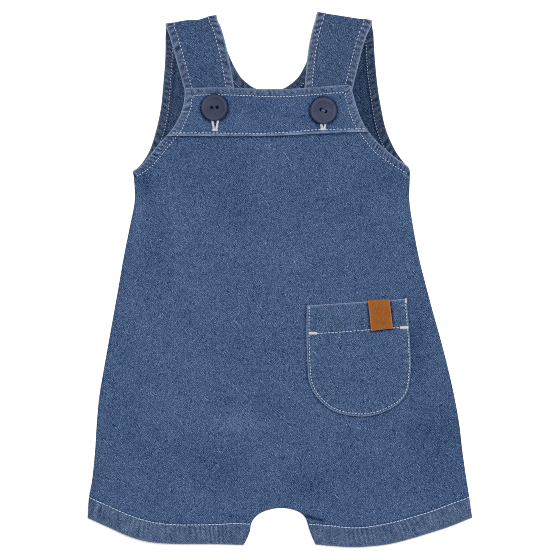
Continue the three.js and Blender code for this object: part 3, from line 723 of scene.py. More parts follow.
def seam_distance(P):
    """Distance to the side seams and the arch, where the front meets the back."""
    yy = np.minimum(P[:, 1], 84.6)
    d = np.minimum(P[:, 0] - side_l(yy), side_r(yy) - P[:, 0])
    return np.maximum(0, np.minimum(d, near(P, ARCH_LINE, reach=42)[0]))


def hem_rise(P):
    return smooth((hem_line(P[:, 0]) + HEM_RISE_RUN - P[:, 1]) / (HEM_RISE_RUN - 2))


def puckers(d, s, width, seed, wave=4.4, slant=0.35):
    """Short slanted puckers across a narrow hem, uneven in pitch, length and strength. About -1 to 1."""
    drift = 1.6 * soft(s, d * 0 + seed * 7.3, 21.0) + 0.55 * ripple(s, d * 0 + seed * 3.1, 6.0)
    wave_ = np.sin(2 * np.pi * (s / wave + slant * d / wave + drift))
    strength = 0.45 + 0.55 * np.clip(worn(s, d * 0 + seed * 5.7, 9.0) + 0.35, 0, 1)
    reach = smooth((d - 0.2) / 1.6) * (1 - smooth((d - width * 0.72) / (width * 0.34)))
    return wave_ * strength * reach


# ---------------------------------------------------------------- heights of each panel


def crease(P, points, depth, width, skew=0.0):
    """A soft trough (or a ridge, if depth is negative) that fades at both ends."""
    line = bend(points, 1.5)
    d, s = near(P, line, reach=2.6 * width)
    L = np.hypot(*np.diff(line, axis=0).T).sum()
    fade = smooth(s / (0.35 * L)) * smooth((L - s) / (0.35 * L))
    w = width * (1 + skew * (s / L - 0.5))
    return -depth * np.exp(-(d / w) ** 2) * fade


# points (x, y), depth, width: soft folds of the relaxed front
FRONT_FOLDS = [
    ([(-96, 62), (-88, 20), (-84, -30), (-88, -84)], 0.28, 11.0),
    ([(-58, 92), (-50, 40), (-54, -20)], -0.22, 14.0),
    ([(12, 84), (4, 30), (8, -34), (2, -92)], 0.20, 16.0),
    ([(62, 70), (74, 34), (86, 2)], 0.24, 10.0),
    ([(-120, -96), (-104, -130), (-100, -164)], 0.22, 12.0),
    ([(96, -120), (112, -142), (118, -168)], 0.20, 9.0),
    ([(-20, -108), (-34, -140), (-30, -172)], 0.26, 10.0),
    ([(16, -150), (30, -160), (52, -172)], 0.26, 8.0),
    ([(-10, -150), (6, -166), (10, -176)], -0.22, 7.0),
    ([(14.0, -181.8), (19.5, -184.0), (25.0, -186.0), (32.0, -187.6), (42.0, -188.8)], 0.80, 1.5),
    ([(-46, -185.4), (-36, -184.6), (-27, -186.6), (-21.5, -188.6)], 0.50, 2.4),
    ([(-70, -178), (-52, -182), (-38, -180)], 0.20, 5.0),
    ([(84, 84), (76, 92), (66, 104)], 0.18, 4.0),
    ([(-96, 84), (-88, 94), (-78, 106)], 0.18, 4.0),
]


def back_heights(P):
    """Upper (wrong side), lower (right side) and edge heights of the back panel, with tone and wear."""
    x, y = P[:, 0], P[:, 1]
    top = np.full(len(P), BACK_TOP)
    low = np.full(len(P), BACK_LOW)
    dl, sl = near(P, BACK_EDGE_L, reach=24)
    dr, sr = near(P, BACK_EDGE_R, reach=24)
    dn, sn = near(P, NECK_LINE, reach=24)
    lift = smooth((y - 84) / 12)
    tone_t = -0.02 * np.tanh(x / 30) * lift
    tone_l = np.zeros(len(P))
    wear_and_painted_light = np.zeros(len(P))
    fade = np.zeros(len(P))
    for d, s, seed, w in ((dl, sl, 1, HEM), (dr, sr, 2, HEM), (dn, sn, 3, HEM)):
        hem = (1 - smooth((d - w - 0.5) / 0.5)) * lift
        top = top + 0.55 * hem
        p = puckers(d, s, w, seed, 4.8)
        top = top + 0.10 * p * lift
        tone_t += 0.105 * p * lift
        tone_l += 0.06 * p
        fade = np.maximum(fade, hem * (0.5 + 0.6 * p))
        # painted shade on the cloth just past the turned hem's inner edge, and the folded edge rubbed pale
        tone_t += -0.10 * np.exp(-((d - w - 1.2) / 0.7) ** 2) * lift
        wear_and_painted_light = np.maximum(wear_and_painted_light, 0.35 * np.exp(-(d / 0.6) ** 2) * lift)
    # the stitched lines are drawn in, with painted shade along their grooves on both faces
    for line in (BACK_STITCH_L, BACK_STITCH_R, NECK_STITCH):
        g = np.exp(-(near(P, line, reach=5)[0] / 0.5) ** 2)
        top = top - 0.14 * g
        low = low + 0.10 * g
        tone_t -= 0.11 * g
        tone_l -= 0.10 * g
    rise = smooth((hem_line(x) + 1.2 - y) / 0.9)
    top = top + HEM_DOUBLE * rise
    g = np.exp(-((y - hem_line(x)) / 0.5) ** 2) * (y < -150)
    low = low + 0.10 * g
    # very soft unevenness of the resting side
    low = low + 0.05 * (1 + soft(x + 40, y, 38.0)) * (1 - rise)
    seam = np.minimum(near(P, SIDE_L, reach=6)[0], np.minimum(near(P, SIDE_R, reach=6)[0], near(P, ARCH_LINE, reach=6)[0]))
    free = np.minimum(np.minimum(dl, dr), np.minimum(dn, np.minimum(near(P, HEM_L, reach=6)[0], near(P, HEM_R, reach=6)[0])))
    edge = np.where(seam < free, top - 0.06, (top + low) / 2)
    rt = np.where(seam < free, 0.25, 0.45 + 0.45 * rise)
    rl = np.where(seam < free, 0.75, 0.45 + 0.45 * rise)
    d = np.minimum(seam, free)
    top2 = edge + (top - edge) * roll(d, rt)
    low2 = edge + (low - edge) * roll(d, rl)
    return top2, low2, edge, tone_t, tone_l, wear_and_painted_light, np.clip(fade, 0, 1)


def back_surface(P):
    return back_heights(P)[0]


# soft lighter and darker patches on the front, partly the dye's uneven fade and partly painted shade of creases: centre
# and spread in picture pixels, and how much lighter
UNEVEN = [
    (377, 182, 28, 18, -0.05), (417, 348, 13, 34, -0.06), (443, 450, 24, 40, -0.045), (176, 268, 14, 40, 0.035),
    (137, 214, 5, 34, 0.05), (290, 275, 14, 66, 0.025), (230, 424, 36, 12, 0.04), (180, 360, 40, 44, 0.018),
    (146, 180, 14, 16, -0.045), (225, 185, 40, 46, -0.02), (302, 487, 22, 12, -0.03), (206, 470, 22, 16, -0.015),
]


def front_heights(P):
    """Upper, lower and edge heights of the front panel, with tone and wear."""
    x, y = P[:, 0], P[:, 1]
    sd = seam_distance(P)
    rise = hem_rise(P)
    crown = CROWN * smooth(sd / CROWN_RUN) * smooth((114 - y) / 46) * (1 - 0.35 * rise)
    low = FRONT_REST + (BIB_REST - FRONT_REST) * smooth((y - 76) / 34) + crown + 2 * HEM_DOUBLE * rise
    low = low - 0.24 * (1 - smooth(sd / 6)) * (1 - smooth((y - 80) / 10))
    dl, sl = near(P, ARM_LINE_L, reach=27)
    dr, sr = near(P, ARM_LINE_R, reach=27)
    d_arm = np.minimum(dl, dr)
    # clear of the back's turned armhole hem below
    under = (y > 84) & (d_arm < 26)
    need = np.zeros(len(P))
    if under.any():
        need[under] = back_surface(P[under]) + 0.05
    low = np.maximum(low, need + 0.10 * smooth((y - 84) / 6) * (need > 0))
    body = smooth((104 - y) / 24) * smooth((y + 183) / 10)
    wob = np.zeros(len(P))
    for pts, depth, width in FRONT_FOLDS:
        wob = wob + crease(P, pts, depth, width)
    wob = wob + (0.10 * soft(x, y, 46.0) + 0.05 * ripple(x + 11, y, 17.0)) * body * smooth(sd / 14)
    top = low + T + wob
    inner = low + np.clip(wob, -0.35, 0.5) * smooth(sd / 14) * (1 - smooth((y - 84) / 6))
    # the tone follows the folds: a little paler on raised cloth, and painted shade down in the deepest creases
    tone_t = 0.05 * np.clip(wob, -0.4, 0.3) + 0.34 * np.clip(wob + 0.34, -0.5, 0)
    wear_and_painted_light = np.zeros(len(P))
    fade = np.zeros(len(P))
    for d, s, seed in ((dl, sl, 4), (dr, sr, 5)):
        hem = 1 - smooth((d - HEM - 0.2) / 0.9)
        top = top + 0.30 * hem
        inner = inner - 0.10 * (1 - smooth((d - HEM - 0.8) / 0.4)) * smooth((y - 86) / 6)
        p = puckers(d, s, HEM, seed, 3.0)
        top = top + 0.13 * p
        tone_t += 0.17 * p - 0.012 * hem
        fade = np.maximum(fade, hem * (0.45 + 0.5 * p))
        wear_and_painted_light = np.maximum(wear_and_painted_light, np.exp(-(d / 0.85) ** 2) * (1.0 + 0.3 * worn(s, s * 0 + seed, 7.0)))
    # the armhole stitched lines are drawn in, with painted shade along their grooves
    for line in (ARM_STITCH_L, ARM_STITCH_R):
        dd = near(P, line, reach=5)[0]
        top = top - 0.20 * np.exp(-(dd / 0.55) ** 2)
        tone_t -= 0.13 * np.exp(-(dd / 0.62) ** 2)
    # leg hems: doubled below the stitched line, which is drawn in
    ds = y - hem_line(x)
    doubled = 1 - smooth((ds - 0.8) / 0.8)
    inner = inner - HEM_DOUBLE * doubled * (y < -150)
    near_hem = y < -140
    groove = np.exp(-(ds / 0.6) ** 2) * near_hem
    top = top - 0.26 * groove + 0.12 * (1 - smooth((ds + 1.2) / 1.4)) * near_hem
    # painted shade in the groove along the leg hem's stitched line
    tone_t -= 0.10 * np.exp(-((ds - 0.45) / 0.75) ** 2) * near_hem
    (hdl, hsl), (hdr, hsr) = near(P, HEM_L, reach=24), near(P, HEM_R, reach=24)
    hd, hs = np.where(x < 0, hdl, hdr), np.where(x < 0, hsl, hsr + 300)
    width = 15.5
    reach = smooth((width - hd) / 2.5) * smooth((hd - 0.4) / 3.5) * near_hem
    drift = 1.0 * soft(hs, hs * 0 + 3.3, 26.0) + 0.5 * ripple(hs, hs * 0, 8.0)
    cord = np.sin(2 * np.pi * (hs / 3.9 + 0.14 * hd / 3.9 + drift)) * (0.35 + 0.65 * np.clip(worn(hs, hs * 0 + 2.2, 12.0) + 0.3, 0, 1))
    cord = cord * (0.4 + 0.6 * smooth((hd - 2) / 9))
    top = top + 0.09 * cord * reach
    patch = worn(x, y, 3.6, 5.0)
    tone_t += (0.085 * cord + 0.04 * patch + 0.006) * reach
    fade = np.maximum(fade, (0.5 + 0.35 * cord + 0.2 * patch) * (1 - smooth((ds + 0.3) / 0.8)) * near_hem)
    wear_and_painted_light = np.maximum(wear_and_painted_light, 0.34 * np.exp(-(hd / 0.75) ** 2) * near_hem)
    # painted shade along the crease at the right leg's inner corner
    dc, sc = near(P, bend([(18.6, -183.6), (24.0, -185.6), (31.0, -187.3), (40.0, -188.6), (52.0, -189.4)], 1.0), reach=7)
    tone_t -= 0.11 * np.exp(-(dc / 1.0) ** 2) * (1 - smooth(sc / 30))
    # the dark line in the shade of each edge that lies on the panel
    tone_t -= 0.20 * np.exp(-((band_low(x) - y) / 1.1) ** 2) * (y > 84)
    dp = near(P, POCKET_EDGE, reach=6)[0]
    tone_t -= (0.19 - 0.07 * smooth((x - 84) / 14)) * np.exp(-(dp / 0.85) ** 2)
    # the side seam's soft ridge, over its turned allowances inside
    side_a, side_b = near(P, SIDE_L, reach=14)[0], near(P, SIDE_R, reach=14)[0]
    ridge = np.exp(-((side_a - 3.2) / 3.0) ** 2) + np.exp(-((side_b - 3.2) / 3.0) ** 2)
    top = top + 0.10 * ridge
    seam = np.minimum(np.minimum(side_a, side_b), near(P, ARCH_LINE, reach=14)[0])
    free = np.minimum(d_arm, hd)
    lap = LAP_TOP - y
    free = np.minimum(free, np.where(lap < 3, lap, 99))
    edge = np.where(seam < free, inner + 0.05, (top + inner) / 2)
    rt = np.where(seam < free, 1.15, np.where(hd < 3, 0.95, 0.5))
    rl = np.where(seam < free, 0.25, np.where(hd < 3, 0.95, 0.5))
    d = np.minimum(seam, free)
    top2 = edge + (top - edge) * roll(d, rt)
    low2 = edge + (inner - edge) * roll(d, rl)
    # a slightly dark rim at the seams
    tone_t -= 0.05 * np.exp(-(seam / 0.9) ** 2)
    for u, v, su, sv, much in UNEVEN:
        cx, cy = at([(u, v)])[0]
        tone_t += much * np.exp(-((x - cx) / (0.78 * su)) ** 2 - ((y - cy) / (0.78 * sv)) ** 2)
    return top2, low2, edge, tone_t, wear_and_painted_light, np.clip(fade, 0, 1)


def sag(P):
    """The band drops a little between the straps and towards its ends."""
    x, y = P[:, 0], P[:, 1]
    middle = smooth((x + 34) / 10) * smooth((20 - x) / 10)
    ends = smooth((-66 - x) / 8) + smooth((x - 50) / 8)
    return (0.55 * middle + 0.25 * ends) * smooth((y - 121) / 8)


BAND_FOLDS = [
    ([(-70, 128), (-62, 131), (-54, 128)], 0.20, 2.6),
    ([(-40, 140), (-20, 136), (2, 138)], 0.22, 5.0),
    ([(-44, 124), (-26, 121), (-8, 123)], -0.16, 4.0),
    ([(44, 124), (52, 121), (60, 122)], 0.18, 2.6),
    ([(8, 128), (18, 124), (26, 122)], 0.14, 3.4),
]


def band_heights(P):
    x, y = P[:, 0], P[:, 1]
    drop = sag(P)
    low = BAND_LOW - drop
    top = BAND_TOP - drop
    for pts, depth, width in BAND_FOLDS:
        top = top + crease(P, pts, depth, width)
    top = top + 0.07 * ripple(x, y + 5, 15.0)
    tone_t = 0.10 * (top - BAND_TOP + drop)
    dl, sl = near(P, ARM_LINE_L, reach=27)
    dr, sr = near(P, ARM_LINE_R, reach=27)
    dt, st = near(P, BAND_TOP_LINE, reach=27)
    db = y - band_low(x)
    wear_and_painted_light = np.zeros(len(P))
    fade = np.zeros(len(P))
    for d, s, seed, w in ((dl, sl, 6, HEM), (dr, sr, 7, HEM), (dt, st, 8, 4.6)):
        hem = 1 - smooth((d - w - 0.2) / 0.9)
        top = top + 0.28 * hem
        low = low - 0.12 * hem
        end = w == HEM
        p = puckers(d, s, w, seed, 3.4 if end else 4.6)
        top = top + 0.13 * p
        tone_t += (0.18 if end else 0.12) * p + 0.006 * hem
        fade = np.maximum(fade, hem * (0.62 + 0.45 * p))
        wear_and_painted_light = np.maximum(wear_and_painted_light, np.exp(-(d / 0.8) ** 2) * ((1.1 if end else 0.75) + 0.3 * worn(s, s * 0 + seed, 6.0)))
    # lower edge: turned under, stitched along, with a rubbed fold
    fold = 1 - smooth((db - 3.0) / 1.2)
    top = top + 0.10 * fold
    low = low - 0.45 * (1 - smooth((db - 4.5) / 0.8))
    rub = 0.75 + 0.45 * worn(x, y * 0 + 6.1, 5.0)
    wear_and_painted_light = np.maximum(wear_and_painted_light, rub * np.exp(-((db - 0.9) / 0.85) ** 2))
    # stitched lines drawn in, with painted shade along their grooves
    for line, depth in ((ARM_STITCH_L, 0.2), (ARM_STITCH_R, 0.2), (BIB_STITCH_LINE, 0.2), (BAND_STITCH_LINE, 0.22)):
        dd = near(P, line, reach=5)[0]
        top = top - depth * np.exp(-(dd / 0.5) ** 2)
        tone_t -= 0.12 * np.exp(-(dd / 0.62) ** 2)
    # painted shadow of each button: a dark ring just past its edge, and shade on the cloth under it
    for _, bx, by, _t in BUTTONS:
        away = np.hypot(x - bx, y - by + 0.35)
        tone_t -= 0.22 * np.exp(-((away - BUTTON_RADIUS) / 0.95) ** 2) + 0.30 * (1 - smooth((away - 5) / 3))
    # the bulky corners where the turned seam ends in the armhole hem
    for cx, cy in ((-78.8, 112.6), (66.0, 115.7)):
        r = np.hypot(x - cx, (y - cy) * 1.3)
        top = top + 0.35 * np.exp(-(r / 3.2) ** 2)
        wear_and_painted_light = np.maximum(wear_and_painted_light, 0.5 * np.exp(-(r / 2.6) ** 2))
    d = np.min([dl, dr, dt, np.maximum(db, 0)], axis=0)
    for hx, hy in BUTTONHOLES:
        h = near(P, slit_loop(hx, hy), True, 6)[0]
        top = top + 0.16 * np.exp(-((h - 0.8) / 1.2) ** 2)
        d = np.minimum(d, h)
    edge = (top + low) / 2
    return edge + (top - edge) * roll(d, 0.5), edge + (low - edge) * roll(d, 0.5), edge, tone_t, wear_and_painted_light, np.clip(fade, 0, 1)


def slit_loop(hx, hy):
    """A worn buttonhole, pulled open by the button's thread: pointed below, round above."""
    t = np.linspace(0, 1, 15)
    half = SLIT_HALF * np.minimum(1, t / 0.42) ** 0.8 * np.sqrt(np.maximum(0, 1 - np.maximum(0, (t - 0.72) / 0.28) ** 2))
    right = np.stack([hx + half, hy + t * SLIT_LENGTH], 1)
    left = np.stack([hx - half, hy + t * SLIT_LENGTH], 1)[::-1]
    return join(right, left)


mouth_a, mouth_b = np.array(POCKET[0]), np.array(POCKET[-1])
mouth_len = float(np.hypot(*(mouth_b - mouth_a)))
mouth_t = (mouth_b - mouth_a) / mouth_len


def pocket_curve():
    """The pocket's outline from its left mouth corner round the bottom to the right one."""
    p = np.array(POCKET, float)
    ext = np.vstack([2 * p[0] - p[1], p, 2 * p[-1] - p[-2]])
    out = []
    for i in range(1, len(ext) - 2):
        p0, p1, p2, p3 = ext[i - 1:i + 3]
        t0 = 0.0
        t1 = t0 + np.hypot(*(p1 - p0)) ** 0.5
        t2 = t1 + np.hypot(*(p2 - p1)) ** 0.5
        t3 = t2 + np.hypot(*(p3 - p2)) ** 0.5
        for t in np.linspace(t1, t2, 14)[:-1]:
            a1 = (t1 - t) / (t1 - t0) * p0 + (t - t0) / (t1 - t0) * p1
            a2 = (t2 - t) / (t2 - t1) * p1 + (t - t1) / (t2 - t1) * p2
            a3 = (t3 - t) / (t3 - t2) * p2 + (t - t2) / (t3 - t2) * p3
            b1 = (t2 - t) / (t2 - t0) * a1 + (t - t0) / (t2 - t0) * a2
            b2 = (t3 - t) / (t3 - t1) * a2 + (t - t1) / (t3 - t1) * a3
            out.append((t2 - t) / (t2 - t1) * b1 + (t - t1) / (t2 - t1) * b2)
    out.append(p[-1])
    return np.array(out)


POCKET_EDGE = resample(pocket_curve(), 1.0)
POCKET_MOUTH_LINE = resample(np.array([POCKET[-1], POCKET[0]]), 1.0)
POCKET_LOOP = join(POCKET_EDGE, POCKET_MOUTH_LINE)
TAB_OUTLINE = resample(np.array([TAB[k] for k in ("topLeft", "lowLeft", "lowRight", "topRight")]), 1.0)


def pocket_open(P):
    q = P - mouth_a
    along = q @ mouth_t
    below = q[:, 0] * mouth_t[1] - q[:, 1] * mouth_t[0]
    return smooth(along / 24) * smooth((mouth_len - along) / 10) * (1 - smooth((below - 7) / POCKET_MOUTH_RUN)), along, below


def pocket_heights(P):
    x, y = P[:, 0], P[:, 1]
    opened, along, below = pocket_open(P)
    ground = front_heights(P)[0]
    de, se = near(P, POCKET_EDGE, reach=60)
    low = ground + 0.05 + POCKET_MOUTH * opened + 0.16 * smooth((de - 2) / 4)
    top = low + T
    turned = 1 - smooth((de - 5.0) / 1.0)
    top = top + 0.30 * turned + 0.10 * (1 - smooth((de - 1.6) / 0.8))
    hem = 1 - smooth((below - POCKET_HEM) / 0.9)
    top = top + 0.24 * hem
    low = low - 0.06 * hem
    p = puckers(de, se, 6.5, 9, 5.2, 0.2)
    top = top + 0.07 * p
    tone_t = 0.045 * p + 0.004 * turned + 0.02 * hem * worn(x, y, 9.0)
    fade = np.clip(np.maximum(turned * (0.25 + 0.3 * p), hem * (0.2 + 0.3 * worn(x, y, 7.0))), 0, 1)
    top = top + 0.10 * soft(x, y + 9, 22.0) * smooth((de - 6) / 8) + crease(P, [(40, -56), (58, -62), (82, -58)], 0.16, 6.0)
    # stitched lines drawn in, with painted shade along their grooves
    for line in (POCKET_STITCH, POCKET_HEM_LINE):
        dd = near(P, line, reach=5)[0]
        top = top - 0.22 * np.exp(-(dd / 0.5) ** 2)
        tone_t -= 0.13 * np.exp(-(dd / 0.62) ** 2)
    # painted shadow round the leather tab's outline
    dt = near(P, TAB_OUTLINE, True, 6)[0]
    tone_t -= 0.32 * np.exp(-(dt / 0.95) ** 2)
    # rubbed mouth and edges
    dm = np.abs(below)
    wear_and_painted_light = np.maximum(1.15 * np.exp(-(dm / 0.75) ** 2), (0.95 + 0.25 * worn(se, se * 0 + 3.7, 8.0)) * np.exp(-(de / 0.75) ** 2))
    d = np.minimum(de, np.maximum(below, 0))
    edge = (top + low) / 2
    return edge + (top - edge) * roll(d, 0.55), edge + (low - edge) * roll(d, 0.55), edge, tone_t, wear_and_painted_light, fade


# ---------------------------------------------------------------- straps


def cut_rows(side):
    """The four corners of the strap's hidden start on the back panel: its outer and inner edge there."""
    if side < 0:
        return STRAP_LEFT, back_arm_l, neck_l, B_ARM_L_CUT
    return STRAP_RIGHT, back_arm_r, neck_r, B_ARM_R_CUT


class Strap:
    """One shoulder strap, from a line across the back panel, over the shoulder fold and down behind the bib."""

    def __init__(self, side):
        self.side = side
        rows, self.arm, self.neck, self.cut = cut_rows(side)
        self.rows = rows
        first, last = rows[0], rows[-1]
        fx, fy = first[2] - first[0], first[3] - first[1]
        L = math.hypot(fx, fy)
        s = 1 if fx > 0 else -1
        self.down = np.array([s * fy / L, -s * fx / L])
        self.back = FOLD_RADIUS + T / 2
        self.outer0, self.inner0 = np.array(first[:2]), np.array(first[2:])
        self.inner_cut = self.cut + (self.inner0[1] - self.outer0[1])
        self.length = math.hypot((last[0] + last[2] - first[0] - first[2]) / 2, (last[1] + last[3] - first[1] - first[3]) / 2)
        keyed = [(i / (len(rows) - 1), *r) for i, r in enumerate(rows)]
        self.table = [column(keyed, 0, c) for c in (1, 2, 3, 4)]
        self.lap = float(self.outer0[1] + self.down[1] * self.back - self.cut)     # length on the back layer
        self.arc = math.pi * FOLD_RADIUS
        self.total = self.lap + self.arc + (self.length - self.back)

    def ends(self, v):
        """Outer and inner edge points of the strap in plan at cloth length v, and the height of its middle."""
        v = np.asarray(v, float)
        foldo = self.outer0 + self.down * self.back
        foldi = self.inner0 + self.down * self.back
        k = np.clip(v / self.lap, 0, 1)
        yo, yi = mix(self.cut, foldo[1], k), mix(self.inner_cut, foldi[1], k)
        xo = mix(self.arm(yo), foldo[0], smooth(k) ** 2)
        xi = mix(self.neck(yi), foldi[0], smooth(k) ** 2)
        o1, i1 = np.stack([xo, yo], -1), np.stack([xi, yi], -1)
        q = np.clip((v - self.lap) / self.arc, 0, 1) * math.pi - math.pi / 2
        a2 = self.back - FOLD_RADIUS * np.cos(q)
        o2, i2 = self.outer0 + self.down * a2[..., None], self.inner0 + self.down * a2[..., None]
        a3 = np.clip(v - self.lap - self.arc, 0, None) + self.back
        t = np.clip(a3 / self.length, 0, 1)
        o3, i3 = (np.stack([self.table[0](t), self.table[1](t)], -1), np.stack([self.table[2](t), self.table[3](t)], -1))
        w = smooth((a3 - self.back) / 8)[..., None]
        o3 = mix(self.outer0 + self.down * a3[..., None], o3, w)
        i3 = mix(self.inner0 + self.down * a3[..., None], i3, w)
        on_back, on_arc = (v < self.lap)[..., None], (v < self.lap + self.arc)[..., None]
        o = np.where(on_back, o1, np.where(on_arc, o2, o3))
        i = np.where(on_back, i1, np.where(on_arc, i2, i3))
        zb = (BACK_TOP + BACK_LOW) / 2
        ztop = zb + 2 * FOLD_RADIUS
        rest = STRAP_REST + 0.62 * smooth(((o[..., 1] + i[..., 1]) / 2 - 149) / 15)
        z3 = mix(ztop, rest, smooth((a3 - self.back) / STRAP_RUN))
        z = np.where(v < self.lap, zb, np.where(v < self.lap + self.arc, zb + FOLD_RADIUS + FOLD_RADIUS * np.sin(q), z3))
        return o, i, z

    def middle(self, v, off):
        """Middle of the cloth at length v and off millimetres in from the outer edge."""
        v, off = np.broadcast_arrays(np.asarray(v, float), np.asarray(off, float))
        o, i, z = self.ends(v)
        L = np.hypot(*(np.moveaxis(i - o, -1, 0)))
        w = np.clip(off / L, 0, 1)
        p = o + (i - o) * w[..., None]
        if self.side < 0:
            hollow = 0.35 * np.exp(-((w - 0.15) / 0.08) ** 2) + 1.25 * np.exp(-((w - 0.64) / 0.14) ** 2)
        else:
            hollow = -0.2 * 4 * w * (1 - w) - 0.45 * np.exp(-((w - 0.1) / 0.12) ** 2)
        bow = -hollow * (1 - smooth(np.abs(v - self.lap - self.arc / 2) / 16))
        p = p - self.down * bow[..., None]
        # the strap bends softly across, and its cloth is not quite flat
        front = smooth((v - self.lap - self.arc) / 14) * smooth((self.total - 26 - v) / 18)
        z = z + front * (0.30 * 4 * w * (1 - w) + 0.16 * ripple(p[..., 0], p[..., 1], 14.0))
        return np.concatenate([p, z[..., None]], -1), L

    def frame(self, v, off):
        """Point and outward normal (towards the right side of the cloth) at the middle of the cloth."""
        p, L = self.middle(v, off)
        e = 0.05
        dv = self.middle(v + e, off)[0] - self.middle(v - e, off)[0]
        do = self.middle(v, off + e)[0] - self.middle(v, np.maximum(off - e, 0))[0]
        n = np.cross(dv, do)
        n /= np.maximum(np.linalg.norm(n, axis=-1, keepdims=True), 1e-12)
        # the right side faces down on the back layer and up in front
        if self.side > 0:
            n = -n
        return p, n, L

    def relief(self, v, off, L):
        """Outer and inner half thickness at a place, with tone and wear."""
        d = np.minimum(off, L - off)
        which = off < L / 2
        s = v
        front = smooth((v - self.lap) / 3)
        seed = np.where(which, 11.0, 12.0) + (2 if self.side > 0 else 0)
        out, inn = np.full(v.shape, T / 2), np.full(v.shape, T / 2)
        hem_out = 1 - smooth((d - HEM - 0.2) / 0.9)
        hem_in = 1 - smooth((d - HEM - 0.5) / 0.5)
        out = out + 0.26 * hem_out * front
        inn = inn + 0.15 * hem_in * front + 0.55 * hem_in * (1 - front)
        drift = 1.6 * soft(s, seed * 7.3, 21.0) + 0.5 * ripple(s, seed * 3.1, 6.0)
        wave = np.sin(2 * np.pi * (s / 3.8 + 0.30 * d / 3.8 + drift))
        strength = 0.4 + 0.6 * np.clip(worn(s, seed * 5.7, 9.0) + 0.35, 0, 1)
        p = wave * strength * smooth((d - 0.2) / 1.6) * (1 - smooth((d - HEM * 0.75) / (HEM * 0.3)))
        out = out + 0.15 * p * front
        groove = np.exp(-((d - HEM) / 0.5) ** 2)
        out = out - 0.18 * groove * front
        inn = inn - 0.10 * groove
        # beside the puckers' tone, painted shade in the groove of the hem's stitched line
        tone = 0.19 * p * front - 0.13 * np.exp(-((d - HEM) / 0.62) ** 2) - 0.035 * front
        wear_and_painted_light = np.exp(-(d / 0.9) ** 2) * front * (1.1 + 0.3 * worn(s, seed, 7.0))
        fade = np.clip(hem_out * front * (0.68 + 0.6 * p) + (0.25 if self.side > 0 else 0.1) * front, 0, 1)
        end = self.total - v
        r = roll(np.minimum(d, end), 0.45)
        return out * r, inn * r, tone, wear_and_painted_light, fade


STRAP_L, STRAP_R = Strap(-1), Strap(1)


def across(L):
    """Places across a strap of width L, close together at its hems."""
    close = [0, 0.08, 0.22, 0.5, 1.1, 1.9, 2.7, 3.5, 4.3, 5.1, 5.7, 6.05, 6.4, 6.75, 7.1, 7.8]
    n = int((L - 15.6) / 1.5)
    middle = list(np.linspace(7.8, L - 7.8, n + 1)[1:-1])
    return np.array(close + middle + [L - c for c in close[::-1]])


def cut_points(strap):
    """The strap's first row: plan points across the back panel, outer edge first."""
    o, i, _ = strap.ends(np.array([0.0]))
    L = float(np.hypot(*(i[0] - o[0])))
    w = across(L) / L
    return o[0] + (i[0] - o[0]) * w[:, None], w


CUT_L, W_L = cut_points(STRAP_L)
CUT_R, W_R = cut_points(STRAP_R)

BACK_EDGE_L = np.vstack([walk_y(back_arm_l, 84.6, B_ARM_L_CUT, 1.0), STRAP_L.ends(np.linspace(0.5, STRAP_L.lap, 8))[0]])
BACK_EDGE_R = np.vstack([walk_y(back_arm_r, 84.6, B_ARM_R_CUT, 1.0), STRAP_R.ends(np.linspace(0.5, STRAP_R.lap, 8))[0]])
BN_L, BN_R = STRAP_L.inner_cut, STRAP_R.inner_cut
NECK_LINE = np.vstack([walk_y(neck_r, BN_R, 146.6, 1.0), [(-8.2, 146.25)], walk_y(neck_l, 146.6, BN_L, 1.0)])
BACK_LOOP = join(*LEG, SIDE_R, walk_y(back_arm_r, 84.6, B_ARM_R_CUT, 1.0), CUT_R, NECK_LINE, CUT_L[::-1],
                 walk_y(back_arm_l, B_ARM_L_CUT, 84.6, 1.0), SIDE_L)

ARM_STITCH_L, ARM_STITCH_R = bend(ARM_STITCH_LEFT, 1.0), bend(ARM_STITCH_RIGHT, 1.0)
BIB_STITCH_LINE, BAND_STITCH_LINE = bend(BIB_STITCH, 1.0), bend(BAND_STITCH, 1.0)
BACK_STITCH_L, BACK_STITCH_R = bend(BACK_STITCH_LEFT, 1.0), bend(BACK_STITCH_RIGHT, 1.0)


def offset_line(line, off):
    t = np.gradient(line, axis=0)
    n = np.stack([-t[:, 1], t[:, 0]], 1) / np.hypot(t[:, 0], t[:, 1])[:, None]
    return line + n * off


NECK_STITCH = offset_line(resample(NECK_LINE, 1.0), HEM)
_t = np.gradient(POCKET_EDGE, axis=0)
_n = np.stack([-_t[:, 1], _t[:, 0]], 1) / np.hypot(_t[:, 0], _t[:, 1])[:, None]
POCKET_STITCH = resample(POCKET_EDGE + _n * (2.1 - 0.85 * smooth((POCKET_EDGE[:, 0:1] - 86) / 12)), 1.0)
POCKET_HEM_LINE = bend(POCKET_HEM_STITCH, 1.0)
HEM_STITCH_L = walk_x(hem_stitch_l, -149.0, -22.9, 1.0)
HEM_STITCH_R = walk_x(hem_stitch_r, 22.4, 148.0, 1.0)
BAND_TOP_LINE = walk_x(band_top, float(front_arm_r(150.9)), float(front_arm_l(149.2)), 1.0)


def band_outline():
    low_l, low_r = float(band_low(-86)), float(band_low(67))
    lower = walk_x(band_low, float(front_arm_l(low_l)), float(front_arm_r(low_r)), 1.0)
    right = walk_y(front_arm_r, low_r, 149.6, 1.0)
    left = walk_y(front_arm_l, 148.2, low_l, 1.0)
    top = walk_x(band_top, 54.3, -73.5, 1.0)
    corner_r = [(55.5, 150.6), (55.1, 151.3)]
    corner_l = [(-74.4, 149.0), (-74.75, 148.6)]
    return join(lower, right, corner_r, top, corner_l, left)


BAND_LOOP = band_outline()
BAND_TOP_LINE = walk_x(band_top, 55.2, -74.4, 1.0)

# ---------------------------------------------------------------- the panels


def ride(ob):
    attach(ob, "root")
    return ob


